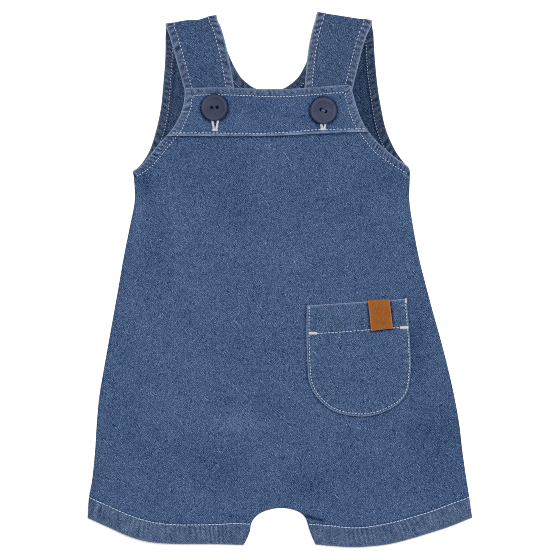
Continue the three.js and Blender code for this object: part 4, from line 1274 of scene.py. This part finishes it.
def area_of(P, tri):
    p = P[tri]
    return 0.5 * np.abs((p[:, 1, 0] - p[:, 0, 0]) * (p[:, 2, 1] - p[:, 0, 1])
                        - (p[:, 1, 1] - p[:, 0, 1]) * (p[:, 2, 0] - p[:, 0, 0])).sum() * 1e-6


RINGS = [0.07, 0.2, 0.45, 0.95]


def on_top(v, P, src, looks):
    """A panel's tone, wear and fade at each vertex of its shell, on its upper face only."""
    is_low = np.arange(len(v)) >= len(P)
    return {key: np.where(is_low, 0.0, a[src]) for key, a in zip(("tone", "wear_and_painted_light", "fade"), looks)}


def build_front():
    def fine(P):
        arm = np.minimum(near(P, ARM_LINE_L)[0], near(P, ARM_LINE_R)[0]) < 8.5
        hem = P[:, 1] < hem_line(P[:, 0]) + 3
        crotch = (np.abs(P[:, 0]) < 50) & (P[:, 1] < -176)
        return arm | hem | crotch

    P, tri, rim = triangulate(FRONT_LOOP, 2.0, RINGS, fine, 1.0, [ARM_STITCH_L, ARM_STITCH_R, HEM_STITCH_L, HEM_STITCH_R])
    top, low, edge, *looks = front_heights(P)
    v, f, upper, src = shell_arrays(P, tri, rim, top, low, edge)
    ob = make("front_panel", v, f, [DENIM, DENIM_INSIDE], np.where(upper, 0, 1), P[src], on_top(v, P, src, looks))
    return ob, area_of(P, tri)


def build_band():
    holes = [slit_loop(*h) for h in BUTTONHOLES]
    P, tri, rim = triangulate(BAND_LOOP, 1.3, RINGS, None, 1.0,
                              [ARM_STITCH_L, ARM_STITCH_R, BIB_STITCH_LINE, BAND_STITCH_LINE], holes)
    top, low, edge, *looks = band_heights(P)
    v, f, upper, src = shell_arrays(P, tri, rim, top, low, edge)
    ob = make("bib_band_cloth", v, f, [DENIM_BAND, DENIM_INSIDE], np.where(upper, 0, 1), P[src] + [37.0, 11.0],
              on_top(v, P, src, looks))
    return ob, area_of(P, tri)


def build_pocket():
    P, tri, rim = triangulate(POCKET_LOOP, 1.3, RINGS, None, 1.0, [POCKET_STITCH, POCKET_HEM_LINE])
    top, low, edge, *looks = pocket_heights(P)
    v, f, upper, src = shell_arrays(P, tri, rim, top, low, edge)
    ob = make("pocket_cloth", v, f, [DENIM, DENIM_INSIDE], np.where(upper, 0, 1), P[src] + [-61.3, 23.7],
              on_top(v, P, src, looks))
    return ob, area_of(P, tri)


def build_back():
    def fine(P):
        arm = np.minimum(near(P, BACK_EDGE_L)[0], near(P, BACK_EDGE_R)[0]) < 9.5
        return (arm & (P[:, 1] > 86)) | (near(P, NECK_LINE)[0] < 9.5) | (P[:, 1] < hem_line(P[:, 0]) + 2.5)

    P, tri, rim = triangulate(BACK_LOOP, 2.4, RINGS, fine, 1.1, [BACK_STITCH_L, BACK_STITCH_R, NECK_STITCH])
    # the two cuts across the shoulders aren't edges: the straps go on from them
    for cut in (CUT_L, CUT_R):
        for p in cut[1:-1]:
            k = np.argmin(((P - p) ** 2).sum(1))
            rim[k] = False
    top, low, edge, tone_t, tone_l, wear_and_painted_light, fade = back_heights(P)
    v, f, upper, src = shell_arrays(P, tri, rim, top, low, edge)
    n = len(P)
    low_of = np.full(n, -1)
    low_of[~rim] = n + np.arange((~rim).sum())
    low_of[rim] = np.where(rim)[0]
    is_low = np.arange(len(v)) >= n
    tone = np.where(is_low, tone_l[src], tone_t[src])
    wears = np.where(is_low, 0.5 * wear_and_painted_light[src], wear_and_painted_light[src])
    verts, faces, mats, uvs = [v], [f], [np.where(upper, 1, 0)], [P[src]]
    tones, wearss, fades = [tone], [wears], [fade[src]]
    total = len(v)
    area = area_of(P, tri)
    for strap, cut, w in ((STRAP_L, CUT_L, W_L), (STRAP_R, CUT_R, W_R)):
        lap, arc = strap.lap, strap.arc
        vs = np.r_[np.linspace(0, lap, 13), lap + np.linspace(0, arc, 15)[1:],
                   np.arange(lap + arc + 1.0, strap.total - 1.2, 1.0), strap.total - np.array([1.0, 0.45, 0.2, 0.07, 0.0])]
        rows, cols = len(vs), len(w)
        V = np.repeat(vs[:, None], cols, 1)
        o, i, _ = strap.ends(V[:, 0])
        L = np.hypot(*(i - o).T)
        off = np.array([across(l)[:cols] if len(across(l)) == cols else w * l for l in L])
        # keep the hem spacing where the width changes
        close = 16
        inner = cols - 2 * close
        for r in range(rows):
            a = across(40.0)[:close]
            off[r, :close] = a
            off[r, -close:] = L[r] - a[::-1]
            off[r, close:-close] = np.linspace(a[-1], L[r] - a[-1], inner + 2)[1:-1]
        Lc = np.repeat(L[:, None], cols, 1)
        p, nrm, _ = strap.frame(V, off)
        out, inn, tn, wr, fd = strap.relief(V, off, Lc)
        right = p + nrm * out[..., None]
        wrong = p - nrm * inn[..., None]
        on_rim = np.zeros((rows, cols), bool)
        on_rim[:, 0] = on_rim[:, -1] = True
        on_rim[-1, :] = True
        idx_r, idx_w = np.full((rows, cols), -1), np.full((rows, cols), -1)
        newv, newuv, newt, neww, newf = [], [], [], [], []
        for r in range(rows):
            for c in range(cols):
                if r == 0:
                    k = int(np.argmin(((P - cut[c]) ** 2).sum(1)))
                    idx_w[r, c] = k
                    idx_r[r, c] = low_of[k]
                    continue
                uvp = (strap.side * 60 + off[r, c] * strap.side, 188 + vs[r])
                idx_r[r, c] = total + len(newv)
                newv.append(p[r, c] if on_rim[r, c] else right[r, c])
                newuv.append(uvp)
                newt.append(tn[r, c])
                neww.append(wr[r, c])
                newf.append(fd[r, c])
                if on_rim[r, c]:
                    idx_w[r, c] = idx_r[r, c]
                else:
                    idx_w[r, c] = total + len(newv)
                    newv.append(wrong[r, c])
                    newuv.append(uvp)
                    newt.append(0.0)
                    neww.append(0.0)
                    newf.append(0.0)
        quads, qm = [], []
        for r in range(rows - 1):
            for c in range(cols - 1):
                a, b, d, e = idx_r[r, c], idx_r[r, c + 1], idx_r[r + 1, c + 1], idx_r[r + 1, c]
                q = [a, b, d, e] if strap.side > 0 else [a, e, d, b]
                quads.append(q)
                qm.append(0)
                a, b, d, e = idx_w[r, c], idx_w[r, c + 1], idx_w[r + 1, c + 1], idx_w[r + 1, c]
                q = [a, e, d, b] if strap.side > 0 else [a, b, d, e]
                quads.append(q)
                qm.append(1)
        verts.append(np.array(newv))
        uvs.append(np.array(newuv))
        tones.append(np.array(newt))
        wearss.append(np.array(neww))
        fades.append(np.array(newf))
        faces.append(quads)
        mats.append(np.array(qm))
        total += len(newv)
        area += float((L[1:] + L[:-1]) @ np.diff(vs)) / 2 * 1e-6
    allf = [list(q) for part in faces for q in part]
    ob = make("back_and_straps", np.vstack(verts), allf, [DENIM, DENIM_INSIDE], np.concatenate(mats), np.vstack(uvs),
              {"tone": np.concatenate(tones), "wear_and_painted_light": np.concatenate(wearss), "fade": np.concatenate(fades)})
    return ob, area


front, front_area = build_front()
band, band_area = build_band()
pocket, pocket_area = build_pocket()
back, back_area = build_back()

# ---------------------------------------------------------------- leather tab


def corner(w, v):
    a, b, c, d = (np.array(TAB[k]) for k in ("topLeft", "topRight", "lowLeft", "lowRight"))
    w, v = np.asarray(w, float)[..., None], np.asarray(v, float)[..., None]
    return mix(mix(a, b, w), mix(c, d, w), v)


def build_tab():
    thick = 1.0
    length = math.hypot(TAB["lowLeft"][0] - TAB["topLeft"][0], TAB["lowLeft"][1] - TAB["topLeft"][1])
    width = math.hypot(TAB["topRight"][0] - TAB["topLeft"][0], TAB["topRight"][1] - TAB["topLeft"][1])
    half = (T + 0.24) / 2
    r = half + 0.14 + thick / 2
    set_ = r + thick / 2
    stations = [(set_ + 5.5 - k, -1.0) for k in (0, 0.07, 0.2, 0.5, 1.2, 2.2, 3.2, 4.2, 5.0)]
    for i in range(17):
        q = -math.pi / 2 + math.pi * i / 16
        stations.append((set_ - r * math.cos(q), math.sin(q)))
    tail = [0.07, 0.2, 0.5]
    stations += [(a, 1.0) for a in np.arange(set_ + 0.9, length - 0.8, 0.9)] + [(length - k, 1.0) for k in tail[::-1]] + [(length, 1.0)]
    cols = np.r_[0, 0.07, 0.2, 0.5, np.linspace(1.1, width - 1.1, 18), width - 0.5, width - 0.2, width - 0.07, width] / width
    A = np.array([s[0] for s in stations])[:, None] + 0 * cols[None]
    S = np.array([s[1] for s in stations])[:, None] + 0 * cols[None]
    W = np.repeat(cols[None], len(stations), 0)

    def place(A, S, W):
        p = corner(W, A / length)
        b = corner(W, np.maximum(A, set_) / length)
        flat = b.reshape(-1, 2)
        top, low, *_ = pocket_heights(flat)
        # the tab spans the soft edge of the pocket's mouth
        lower = corner(W, np.maximum(A, set_ + 1.5) / length).reshape(-1, 2)
        top2, low2, *_ = pocket_heights(lower)
        mid = ((top2 + low2) / 2).reshape(A.shape)
        lift = np.where(S > 0, 0.10 * smooth((A - set_) / 8) + 0.10 * np.sin(W * math.pi) * smooth((A - set_) / 12), 0)
        return np.concatenate([p, (mid + S * r + lift)[..., None]], -1)

    M = place(A, S, W)
    n = np.zeros_like(M)
    dv = np.gradient(M, axis=0)
    du = np.gradient(M, axis=1)
    n = np.cross(du, dv)
    n /= np.linalg.norm(n, axis=-1, keepdims=True)
    # outwards: up on the long leg
    if n[-3, 10, 2] < 0:
        n = -n
    along = np.r_[0, np.cumsum(np.linalg.norm(np.diff(M[:, 10], axis=0), axis=1))]
    end = np.minimum(along, along[-1] - along)[:, None] + 0 * cols[None]
    side = np.minimum(cols, 1 - cols)[None] * width + 0 * A
    d = np.minimum(end, side)
    h = thick / 2 * roll(d, 0.42)
    press = 0.09 * np.exp(-((side - 1.5) / 0.5) ** 2) * (S > 0.99)     # the pressed line inside the cut edge
    up, lo = M + n * (h - press * 0)[..., None], M - n * h[..., None]
    wear_and_painted_light = 0.9 * np.exp(-(side / 0.8) ** 2) + 0.5 * np.exp(-(end / 0.8) ** 2) + 0.25 * np.exp(-((A - set_ + r) / 0.9) ** 2)
    rows, cc = A.shape
    rim = np.zeros((rows, cc), bool)
    rim[0] = rim[-1] = True
    rim[:, 0] = rim[:, -1] = True
    iu = np.arange(rows * cc).reshape(rows, cc)
    il = np.where(rim, iu, rows * cc + np.cumsum((~rim).ravel()).reshape(rows, cc) - 1)
    verts = np.vstack([np.where(rim[..., None], M, up).reshape(-1, 3), lo[~rim]])
    wears = np.r_[wear_and_painted_light.ravel(), wear_and_painted_light[~rim]]
    quads = []
    for r_ in range(rows - 1):
        for c in range(cc - 1):
            quads.append([iu[r_, c], iu[r_ + 1, c], iu[r_ + 1, c + 1], iu[r_, c + 1]])
            quads.append([il[r_, c], il[r_, c + 1], il[r_ + 1, c + 1], il[r_ + 1, c]])
    ob = make("leather_tab_piece", verts, quads, [LEATHER], np.zeros(len(quads)), None, {"wear_and_painted_light": np.clip(wears, 0, 1)})
    return ob


tab = build_tab()

# ---------------------------------------------------------------- buttons


def circle(cx, cy, r, n):
    t = np.linspace(0, 2 * np.pi, n, endpoint=False)
    return np.stack([cx + r * np.cos(t), cy + r * np.sin(t)], 1)


def build_button(name, bx, by, turn):
    """A two-hole button: a raised rounded rim, a shallow dish, and holes right through."""
    R, hole, off = BUTTON_RADIUS - 0.3, 1.15, 2.1 if bx < 0 else 1.95
    loop = circle(0, 0, R, 120)
    holes = [circle(-off, 0, hole, 28), circle(off, 0, hole, 28)]
    rings = [0.05, 0.16, 0.34, 0.6, 0.95]
    P, tri, rim = triangulate(loop, 0.9, rings, None, 0.9, [], holes)
    r = np.hypot(P[:, 0], P[:, 1])
    base_z = 4.5
    prof = column([(0, 2.36), (4.4, 2.42), (6.8, 2.56), (8.0, 2.82), (8.9, 3.0), (9.8, 2.86), (10.75, 2.3)], 0, 1)
    top = base_z + prof(r)
    low = base_z + 0.35 * smooth((r - 8.2) / 2.5)
    d_out = R - r
    d_hole = np.min([near(P, h, True)[0] for h in holes], axis=0)
    edge = np.where(d_out < d_hole, base_z + 1.5, base_z + 1.2)
    rt = np.where(d_out < d_hole, 1.05, 0.28)
    k = roll(np.minimum(d_out, d_hole), rt)
    top2, low2 = edge + (top - edge) * k, edge + (low - edge) * k
    # painted highlight along the raised rim and painted shade round the holes; the right button is painted a little
    # lighter all over
    wear_and_painted_light = 0.55 * np.exp(-((d_out - 1.5) / 0.8) ** 2) - 1.3 * np.exp(-(d_hole / 0.16) ** 2)
    wear_and_painted_light = wear_and_painted_light + (0.22 if bx > 0 else 0.03)
    c, s = math.cos(math.radians(turn)), math.sin(math.radians(turn))
    Q = np.stack([bx + c * P[:, 0] - s * P[:, 1], by + s * P[:, 0] + c * P[:, 1]], 1)
    v, f, upper, src = shell_arrays(Q, tri, rim, top2, low2, edge)
    is_low = np.arange(len(v)) >= len(P)
    # painted shade: the faces down inside the holes get the darkest colour
    in_hole = is_low & (d_hole[src] < 1.0)
    return make(name + "_disc", v, f, [PLASTIC], np.zeros(len(f)), None,
                {"wear_and_painted_light": np.where(in_hole, -1.3, np.where(is_low, 0, wear_and_painted_light[src]))})


buttons = [build_button(*b) for b in BUTTONS]

# ---------------------------------------------------------------- threads


def tube(paths, radius, sides=6):
    """Closed tubes along paths of points, each tapered to its ends. Paths is (n, m, 3)."""
    paths = np.asarray(paths, float)
    n, m, _ = paths.shape
    t = np.gradient(paths, axis=1)
    t /= np.maximum(np.linalg.norm(t, axis=2, keepdims=True), 1e-9)
    up = np.array([0.0, 0.0, 1.0])
    a = np.cross(t, up)
    bad = np.linalg.norm(a, axis=2) < 1e-3
    a[bad] = np.cross(t[bad], [1.0, 0.0, 0.0])
    a /= np.linalg.norm(a, axis=2, keepdims=True)
    b = np.cross(a, t)
    s = np.linspace(0, 1, m)
    r = np.asarray(radius, float).reshape(-1, 1) * np.sqrt(np.clip(1 - (2 * np.abs(s - 0.5)) ** 6, 0.12, 1))[None] * np.ones((n, 1))
    ang = np.linspace(0, 2 * np.pi, sides, endpoint=False)
    ring = (paths[:, :, None] + r[:, :, None, None] * (np.cos(ang)[None, None, :, None] * a[:, :, None]
                                                       + np.sin(ang)[None, None, :, None] * b[:, :, None]))
    verts = ring.reshape(n, m * sides, 3)
    f = []
    for i in range(m - 1):
        for k in range(sides):
            q = (k + 1) % sides
            f.append([i * sides + k, i * sides + q, (i + 1) * sides + q, (i + 1) * sides + k])
    caps = [list(range(sides))[::-1], [(m - 1) * sides + k for k in range(sides)]]
    faces = []
    for j in range(n):
        o = j * m * sides
        faces += [[o + x for x in q] for q in f]
        faces += [[o + x for x in q] for q in caps]
    return verts.reshape(-1, 3), faces


def stitches(line, pitch, share, height, radius=0.24, rise=0.16, sink=0.30, seed=0, normal=None, wander=0.05, skip=None):
    """Paths of the stitches along a plan line. height(P) gives the surface."""
    rng = np.random.default_rng(seed)
    line = np.asarray(line, float)
    s = np.r_[0, np.cumsum(np.hypot(*np.diff(line, axis=0).T))]
    n = int(s[-1] / pitch)
    m = 7
    out = []
    start = np.arange(n) * pitch + (s[-1] - n * pitch) / 2
    length = pitch * share * rng.uniform(0.92, 1.06, n)
    start = start + rng.normal(0, 0.05, n)
    t = np.linspace(0, 1, m)
    q = start[:, None] + length[:, None] * t[None]
    x, y = np.interp(q, s, line[:, 0]), np.interp(q, s, line[:, 1])
    side = rng.normal(0, wander, n)[:, None] + 0.05 * (t[None] - 0.5)
    dx, dy = np.gradient(x, axis=1), np.gradient(y, axis=1)
    L = np.maximum(np.hypot(dx, dy), 1e-9)
    x, y = x - dy / L * side, y + dx / L * side
    z = height(np.stack([x.ravel(), y.ravel()], 1)).reshape(x.shape)
    arch = np.sin(np.pi * t) ** 0.6
    lift = -sink + (sink + rise * rng.uniform(0.8, 1.2, n)[:, None]) * arch[None]
    paths = np.stack([x, y, z + lift], 2)
    if skip is not None:
        paths = paths[~skip(paths[:, m // 2, :2])]
    return paths


def thread_object(name, groups, material, sides=6):
    verts, faces, total = [], [], 0
    for paths, radius in groups:
        v, f = tube(paths, radius, sides)
        verts.append(v)
        faces += [[total + i for i in q] for q in f]
        total += len(v)
    ob = make(name, np.vstack(verts), faces, [material], np.zeros(len(faces)), None, {})
    return ob


def band_or_front(P):
    on_band = P[:, 1] > band_low(P[:, 0])
    z = np.empty(len(P))
    if on_band.any():
        z[on_band] = band_heights(P[on_band])[0]
    if (~on_band).any():
        z[~on_band] = front_heights(P[~on_band])[0]
    return z


def band_z(P):
    return band_heights(P)[0]


def front_z(P):
    return front_heights(P)[0]


def pocket_z(P):
    return pocket_heights(P)[0]


R_T = 0.33
front_threads = [
    (stitches(ARM_STITCH_L, 2.34, 0.66, band_or_front, seed=1), R_T),
    (stitches(ARM_STITCH_R, 2.4, 0.66, band_or_front, seed=2), R_T),
    (stitches(HEM_STITCH_L, 2.75, 0.97, front_z, seed=3), R_T * 1.12),
    (stitches(HEM_STITCH_R, 2.75, 0.97, front_z, seed=4), R_T * 1.12),
]
band_threads = [
    (stitches(BIB_STITCH_LINE, 2.42, 0.80, band_z, seed=5), R_T * 1.12),
    (stitches(BAND_STITCH_LINE, 2.85, 0.80, band_z, seed=6), R_T * 1.05),
]
pocket_threads = [
    (stitches(POCKET_STITCH, 2.45, 0.74, pocket_z, seed=7), R_T * 1.05),
    (stitches(POCKET_HEM_LINE[:int(62 / 1.0)], 2.85, 0.88, pocket_z, seed=8), R_T * 1.15),
    (stitches(POCKET_HEM_LINE[int(62 / 1.0):], 2.85, 0.88, pocket_z, seed=9), R_T * 1.15),
]


def back_top_z(P):
    return back_heights(P)[0]


def bottom_stitches(line, pitch, seed, rise=0.02):
    """Stitches on the resting side, pressed into the cloth."""
    paths = stitches(line, pitch, 0.74, lambda P: -back_heights(P)[1], rise=rise, sink=0.3, seed=seed)
    paths[:, :, 2] *= -1
    paths[:, :, 2] = np.maximum(paths[:, :, 2], 0.24)
    return paths


def strap_stitches(strap, inner, pitch, seed, v0, v1):
    """Stitches along a strap's hem, on the right side of its cloth."""
    rng = np.random.default_rng(seed)
    n = int((v1 - v0) / pitch)
    m = 7
    t = np.linspace(0, 1, m)
    start = v0 + np.arange(n) * pitch + rng.normal(0, 0.05, n)
    q = start[:, None] + pitch * 0.62 * t[None]
    _, _, _ = strap.ends(q)
    o, i, _ = strap.ends(q)
    L = np.hypot(*(np.moveaxis(i - o, -1, 0)))
    base_off = HEM + 0.25 * soft(q, q * 0 + seed, 30.0) - (0.5 if inner and strap.side > 0 else 0)
    off = (L - base_off) if inner else base_off
    off = off + rng.normal(0, 0.05, n)[:, None]
    p, nrm, _ = strap.frame(q, off)
    out = strap.relief(q, off, L)[0]
    lift = -0.30 + (0.30 + 0.16) * np.sin(np.pi * t)[None] ** 0.6
    return p + nrm * (out + lift)[..., None]


strap_threads = []
for k, (strap, seed) in enumerate(((STRAP_L, 20), (STRAP_R, 30))):
    a, b = strap.lap + strap.arc * 0.2, strap.total - 3
    strap_threads += [(strap_stitches(strap, False, 2.6, seed, a, b), R_T), (strap_stitches(strap, True, 2.6, seed + 1, a, b), R_T)]
inside_threads = [
    (stitches(BACK_STITCH_L, 2.36, 0.62, back_top_z, seed=40, rise=0.14), R_T * 0.95),
    (stitches(BACK_STITCH_R, 2.36, 0.62, back_top_z, seed=41, rise=0.14), R_T * 0.95),
    (stitches(NECK_STITCH[4:-4], 2.4, 0.70, back_top_z, seed=42, rise=0.12), R_T * 0.95),
]
under_threads = [
    (bottom_stitches(BACK_STITCH_L, 2.36, 43), R_T * 0.9),
    (bottom_stitches(BACK_STITCH_R, 2.36, 44), R_T * 0.9),
    (bottom_stitches(NECK_STITCH[4:-4], 2.4, 45), R_T * 0.9),
    (bottom_stitches(HEM_STITCH_L, 2.75, 46), R_T * 0.9),
    (bottom_stitches(HEM_STITCH_R, 2.75, 47), R_T * 0.9),
]

t_front = thread_object("topstitch_front", front_threads, THREAD)
t_band = thread_object("topstitch_bib", band_threads, THREAD)
t_pocket = thread_object("topstitch_pocket", pocket_threads, THREAD)
t_straps = thread_object("topstitch_straps", strap_threads, THREAD)
t_inside = thread_object("stitching_inside_back", inside_threads, THREAD_INSIDE)
t_under = thread_object("stitching_back", under_threads, THREAD)


def satin(a, b, width, pitch, height, rise=0.28, seed=0, wobble=0.08, m=6):
    """Dense stitches across the line from a to b."""
    rng = np.random.default_rng(seed)
    a, b = np.array(a, float), np.array(b, float)
    L = np.hypot(*(b - a))
    n = max(2, int(L / pitch))
    u = (b - a) / L
    w = np.array([-u[1], u[0]])
    t = np.linspace(-0.5, 0.5, m)
    s = (np.arange(n) + 0.5) * L / n + rng.normal(0, wobble * 0.5, n)
    c = a + u * s[:, None]
    wid = width * rng.uniform(0.9, 1.1, n)
    p = c[:, None] + w * (wid[:, None] * t)[..., None] + u * (rng.normal(0, wobble, n)[:, None] * t * 2)[..., None]
    z = height(p.reshape(-1, 2)).reshape(n, m)
    z = z.max(1, keepdims=True) * 0.6 + z * 0.4
    arch = (1 - (2 * np.abs(t)) ** 2.5)
    return np.concatenate([p, (z + rise * arch - 0.12)[..., None]], -1)


def buttonhole(hx, hy, seed):
    """Close stitches round a buttonhole: along both sides, fanned at the top, with a bar across the lower end."""
    rng = np.random.default_rng(seed)
    loop = slit_loop(hx, hy)
    mid = loop.mean(0)
    line = resample(np.vstack([loop, loop[:1]]), 0.40)[:-1]
    t = np.roll(line, -1, axis=0) - np.roll(line, 1, axis=0)
    nrm = np.stack([t[:, 1], -t[:, 0]], 1) / np.hypot(t[:, 0], t[:, 1])[:, None]
    m = 6
    q = np.linspace(0, 1, m)
    wid = 1.95 * rng.uniform(0.88, 1.12, len(line))
    p = line[:, None] + nrm[:, None] * (wid[:, None] * q - 0.18)[..., None]
    p = p + rng.normal(0, 0.05, (len(line), 1, 2))
    out = line + nrm * 1.2
    z0 = band_z(out)
    arch = np.sin(np.pi * np.clip(q * 1.02 + 0.06, 0, 1)) ** 0.7
    z = z0[:, None] - 0.14 + 0.40 * arch[None] - 0.25 * np.maximum(0, 0.18 - q)[None] * 3
    sides_ = np.concatenate([p, z[..., None]], -1)
    return sides_, satin((hx - 2.1, hy - 0.85), (hx + 2.1, hy - 0.85), 1.9, 0.36, band_z, 0.42, seed + 1)


hole_groups = []
for (hx, hy), seed, (_n, bx, by, turn) in zip(BUTTONHOLES, (60, 70), BUTTONS):
    a, b = buttonhole(hx, hy, seed)
    c, s = math.cos(math.radians(turn)) * 2.2, math.sin(math.radians(turn)) * 2.2
    mid = a[:, :, :2].mean(1)
    worn_out = np.min([np.hypot(mid[:, 0] - bx - k * c, mid[:, 1] - by - k * s) for k in (-1, 1)], axis=0) < 2.3
    a = a[~worn_out]
    hole_groups += [(a, 0.24), (b, 0.24)]
t_holes = thread_object("buttonhole_stitching", hole_groups, THREAD_HOLE)

tacks = [
    (satin(*at([(308.6, 333.2), (316.8, 333.2)]), 2.3, 0.36, pocket_z, 0.38, 80), 0.24),
    (satin(*at([(400.0, 327.6), (408.2, 327.4)]), 2.5, 0.36, pocket_z, 0.38, 81), 0.24),
    (satin(*at([(405.6, 298.2), (405.9, 302.8)]), 1.7, 0.40, pocket_z, 0.30, 82), 0.23),
    (satin(*at([(308.9, 306.4), (308.8, 309.4)]), 0.9, 0.55, pocket_z, 0.22, 83), 0.18),
]
t_tacks = thread_object("bar_tacks", tacks, THREAD_HOLE)


def shank(bx, by, turn, seed, through):
    """The thread that sews a button on: over its top from hole to hole, and down through the buttonhole to the strap."""
    rng = np.random.default_rng(seed)
    c, s = math.cos(math.radians(turn)), math.sin(math.radians(turn))
    paths = []
    for k in range(4):
        side = (k - 1.5) * 0.26
        pts = []
        for u, z in ((-0.55, 2.9), (-1.5, 4.4), (-1.42, 6.3), (-0.95, 7.0), (0, 7.12), (0.95, 7.0), (1.42, 6.3), (1.5, 4.4), (0.55, 2.9)):
            x, y = u + rng.normal(0, 0.03), side + rng.normal(0, 0.03)
            zz = z + (0.06 if k in (1, 2) and z > 7 else 0)
            pts.append((bx + c * x - s * y, by + s * x + c * y, zz))
        p = np.array(pts)
        q = np.linspace(0, 1, 25)
        kk = np.linspace(0, 1, len(p))
        rows = [(a, *b) for a, b in zip(kk, p)]
        paths.append(np.stack([column(rows, 0, 1)(q), column(rows, 0, 2)(q), column(rows, 0, 3)(q)], 1))
    return np.array(paths)


t_btn = []
for (name, bx, by, turn), material, seed in zip(BUTTONS, (THREAD_DARK, THREAD_GREY), (90, 91)):
    t_btn.append(thread_object(name + "_thread", [(shank(bx, by, turn, seed, None), 0.17)], material))

# ---------------------------------------------------------------- what stands for what

ride(front)
ride(band)
ride(pocket)
ride(back)
ride(tab)
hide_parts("front")
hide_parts("bib_band")
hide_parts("pocket")
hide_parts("back")
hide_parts("leather_tab")
for ob, (name, *_r) in zip(buttons, BUTTONS):
    ride(ob)
    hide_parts(name)
for ob in (t_front, t_band, t_pocket, t_straps, t_inside, t_under, t_holes, t_tacks, *t_btn):
    ride(ob)

# ---------------------------------------------------------------- floor, light and camera


def floor():
    me = bpy.data.meshes.new("floor")
    s = 6.0
    me.from_pydata([(-s, -s, 0), (s, -s, 0), (s, s, 0), (-s, s, 0)], [], [(0, 1, 2, 3)])
    ob = bpy.data.objects.new("floor", me)
    bpy.context.scene.collection.objects.link(ob)
    m, nt, bsdf = nodes_of("white_floor")
    bsdf.inputs["Base Color"].default_value = (0.90, 0.90, 0.90, 1)
    bsdf.inputs["Roughness"].default_value = 0.9
    bsdf.inputs["Specular IOR Level"].default_value = 0.1
    bsdf.inputs["Emission Color"].default_value = (1, 1, 1, 1)
    # the floor glows a little: it fills the contact shadow round the cloth and lights the cloth's edges from below
    bsdf.inputs["Emission Strength"].default_value = 0.22     # a lit table: no dark outline round the cloth
    me.materials.append(m)
    return ob


floor()

world = bpy.data.worlds.new("studio")
bpy.context.scene.world = world
world.use_nodes = True
bg = world.node_tree.nodes.get("Background") or world.node_tree.nodes.new("ShaderNodeBackground")
bg.inputs["Color"].default_value = (1.0, 1.0, 1.0, 1)
bg.inputs["Strength"].default_value = 0.55


def area_light(name, place, target, size, watts):
    li = bpy.data.lights.new(name, "AREA")
    li.shape = "DISK"
    li.size = size
    li.energy = watts
    ob = bpy.data.objects.new(name, li)
    ob.location = place
    d = Vector(target) - Vector(place)
    ob.rotation_euler = d.to_track_quat("-Z", "Y").to_euler()
    bpy.context.scene.collection.objects.link(ob)
    return ob


area_light("key", (0.42, 0.62, 2.9), (0, 0, 0), 1.1, 70.0)

cam_data = bpy.data.cameras.new("camera")
cam = bpy.data.objects.new("camera", cam_data)
bpy.context.scene.collection.objects.link(cam)
DISTANCE = 2.5
cam.location = (0.0, -0.00039, DISTANCE)
cam.rotation_euler = (0, 0, 0)
cam_data.sensor_width = 36.0
cam_data.lens = 36.0 * (DISTANCE - 0.003) / (560 * PX * MM)
cam_data.clip_start, cam_data.clip_end = 0.05, 40.0
cam_data.dof.use_dof = False
bpy.context.scene.camera = cam

scene = bpy.context.scene
scene.view_settings.view_transform = "Standard"
scene.view_settings.look = "None"
scene.view_settings.exposure = 0.0
scene.view_settings.gamma = 1.0
scene.cycles.filter_width = 1.0      # as crisp as the photograph
scene.cycles.use_denoising = False   # it would smooth away the weave and part the stitches into a line

print("areas", round(front_area, 5), round(band_area, 5), round(pocket_area, 5), round(back_area, 5))
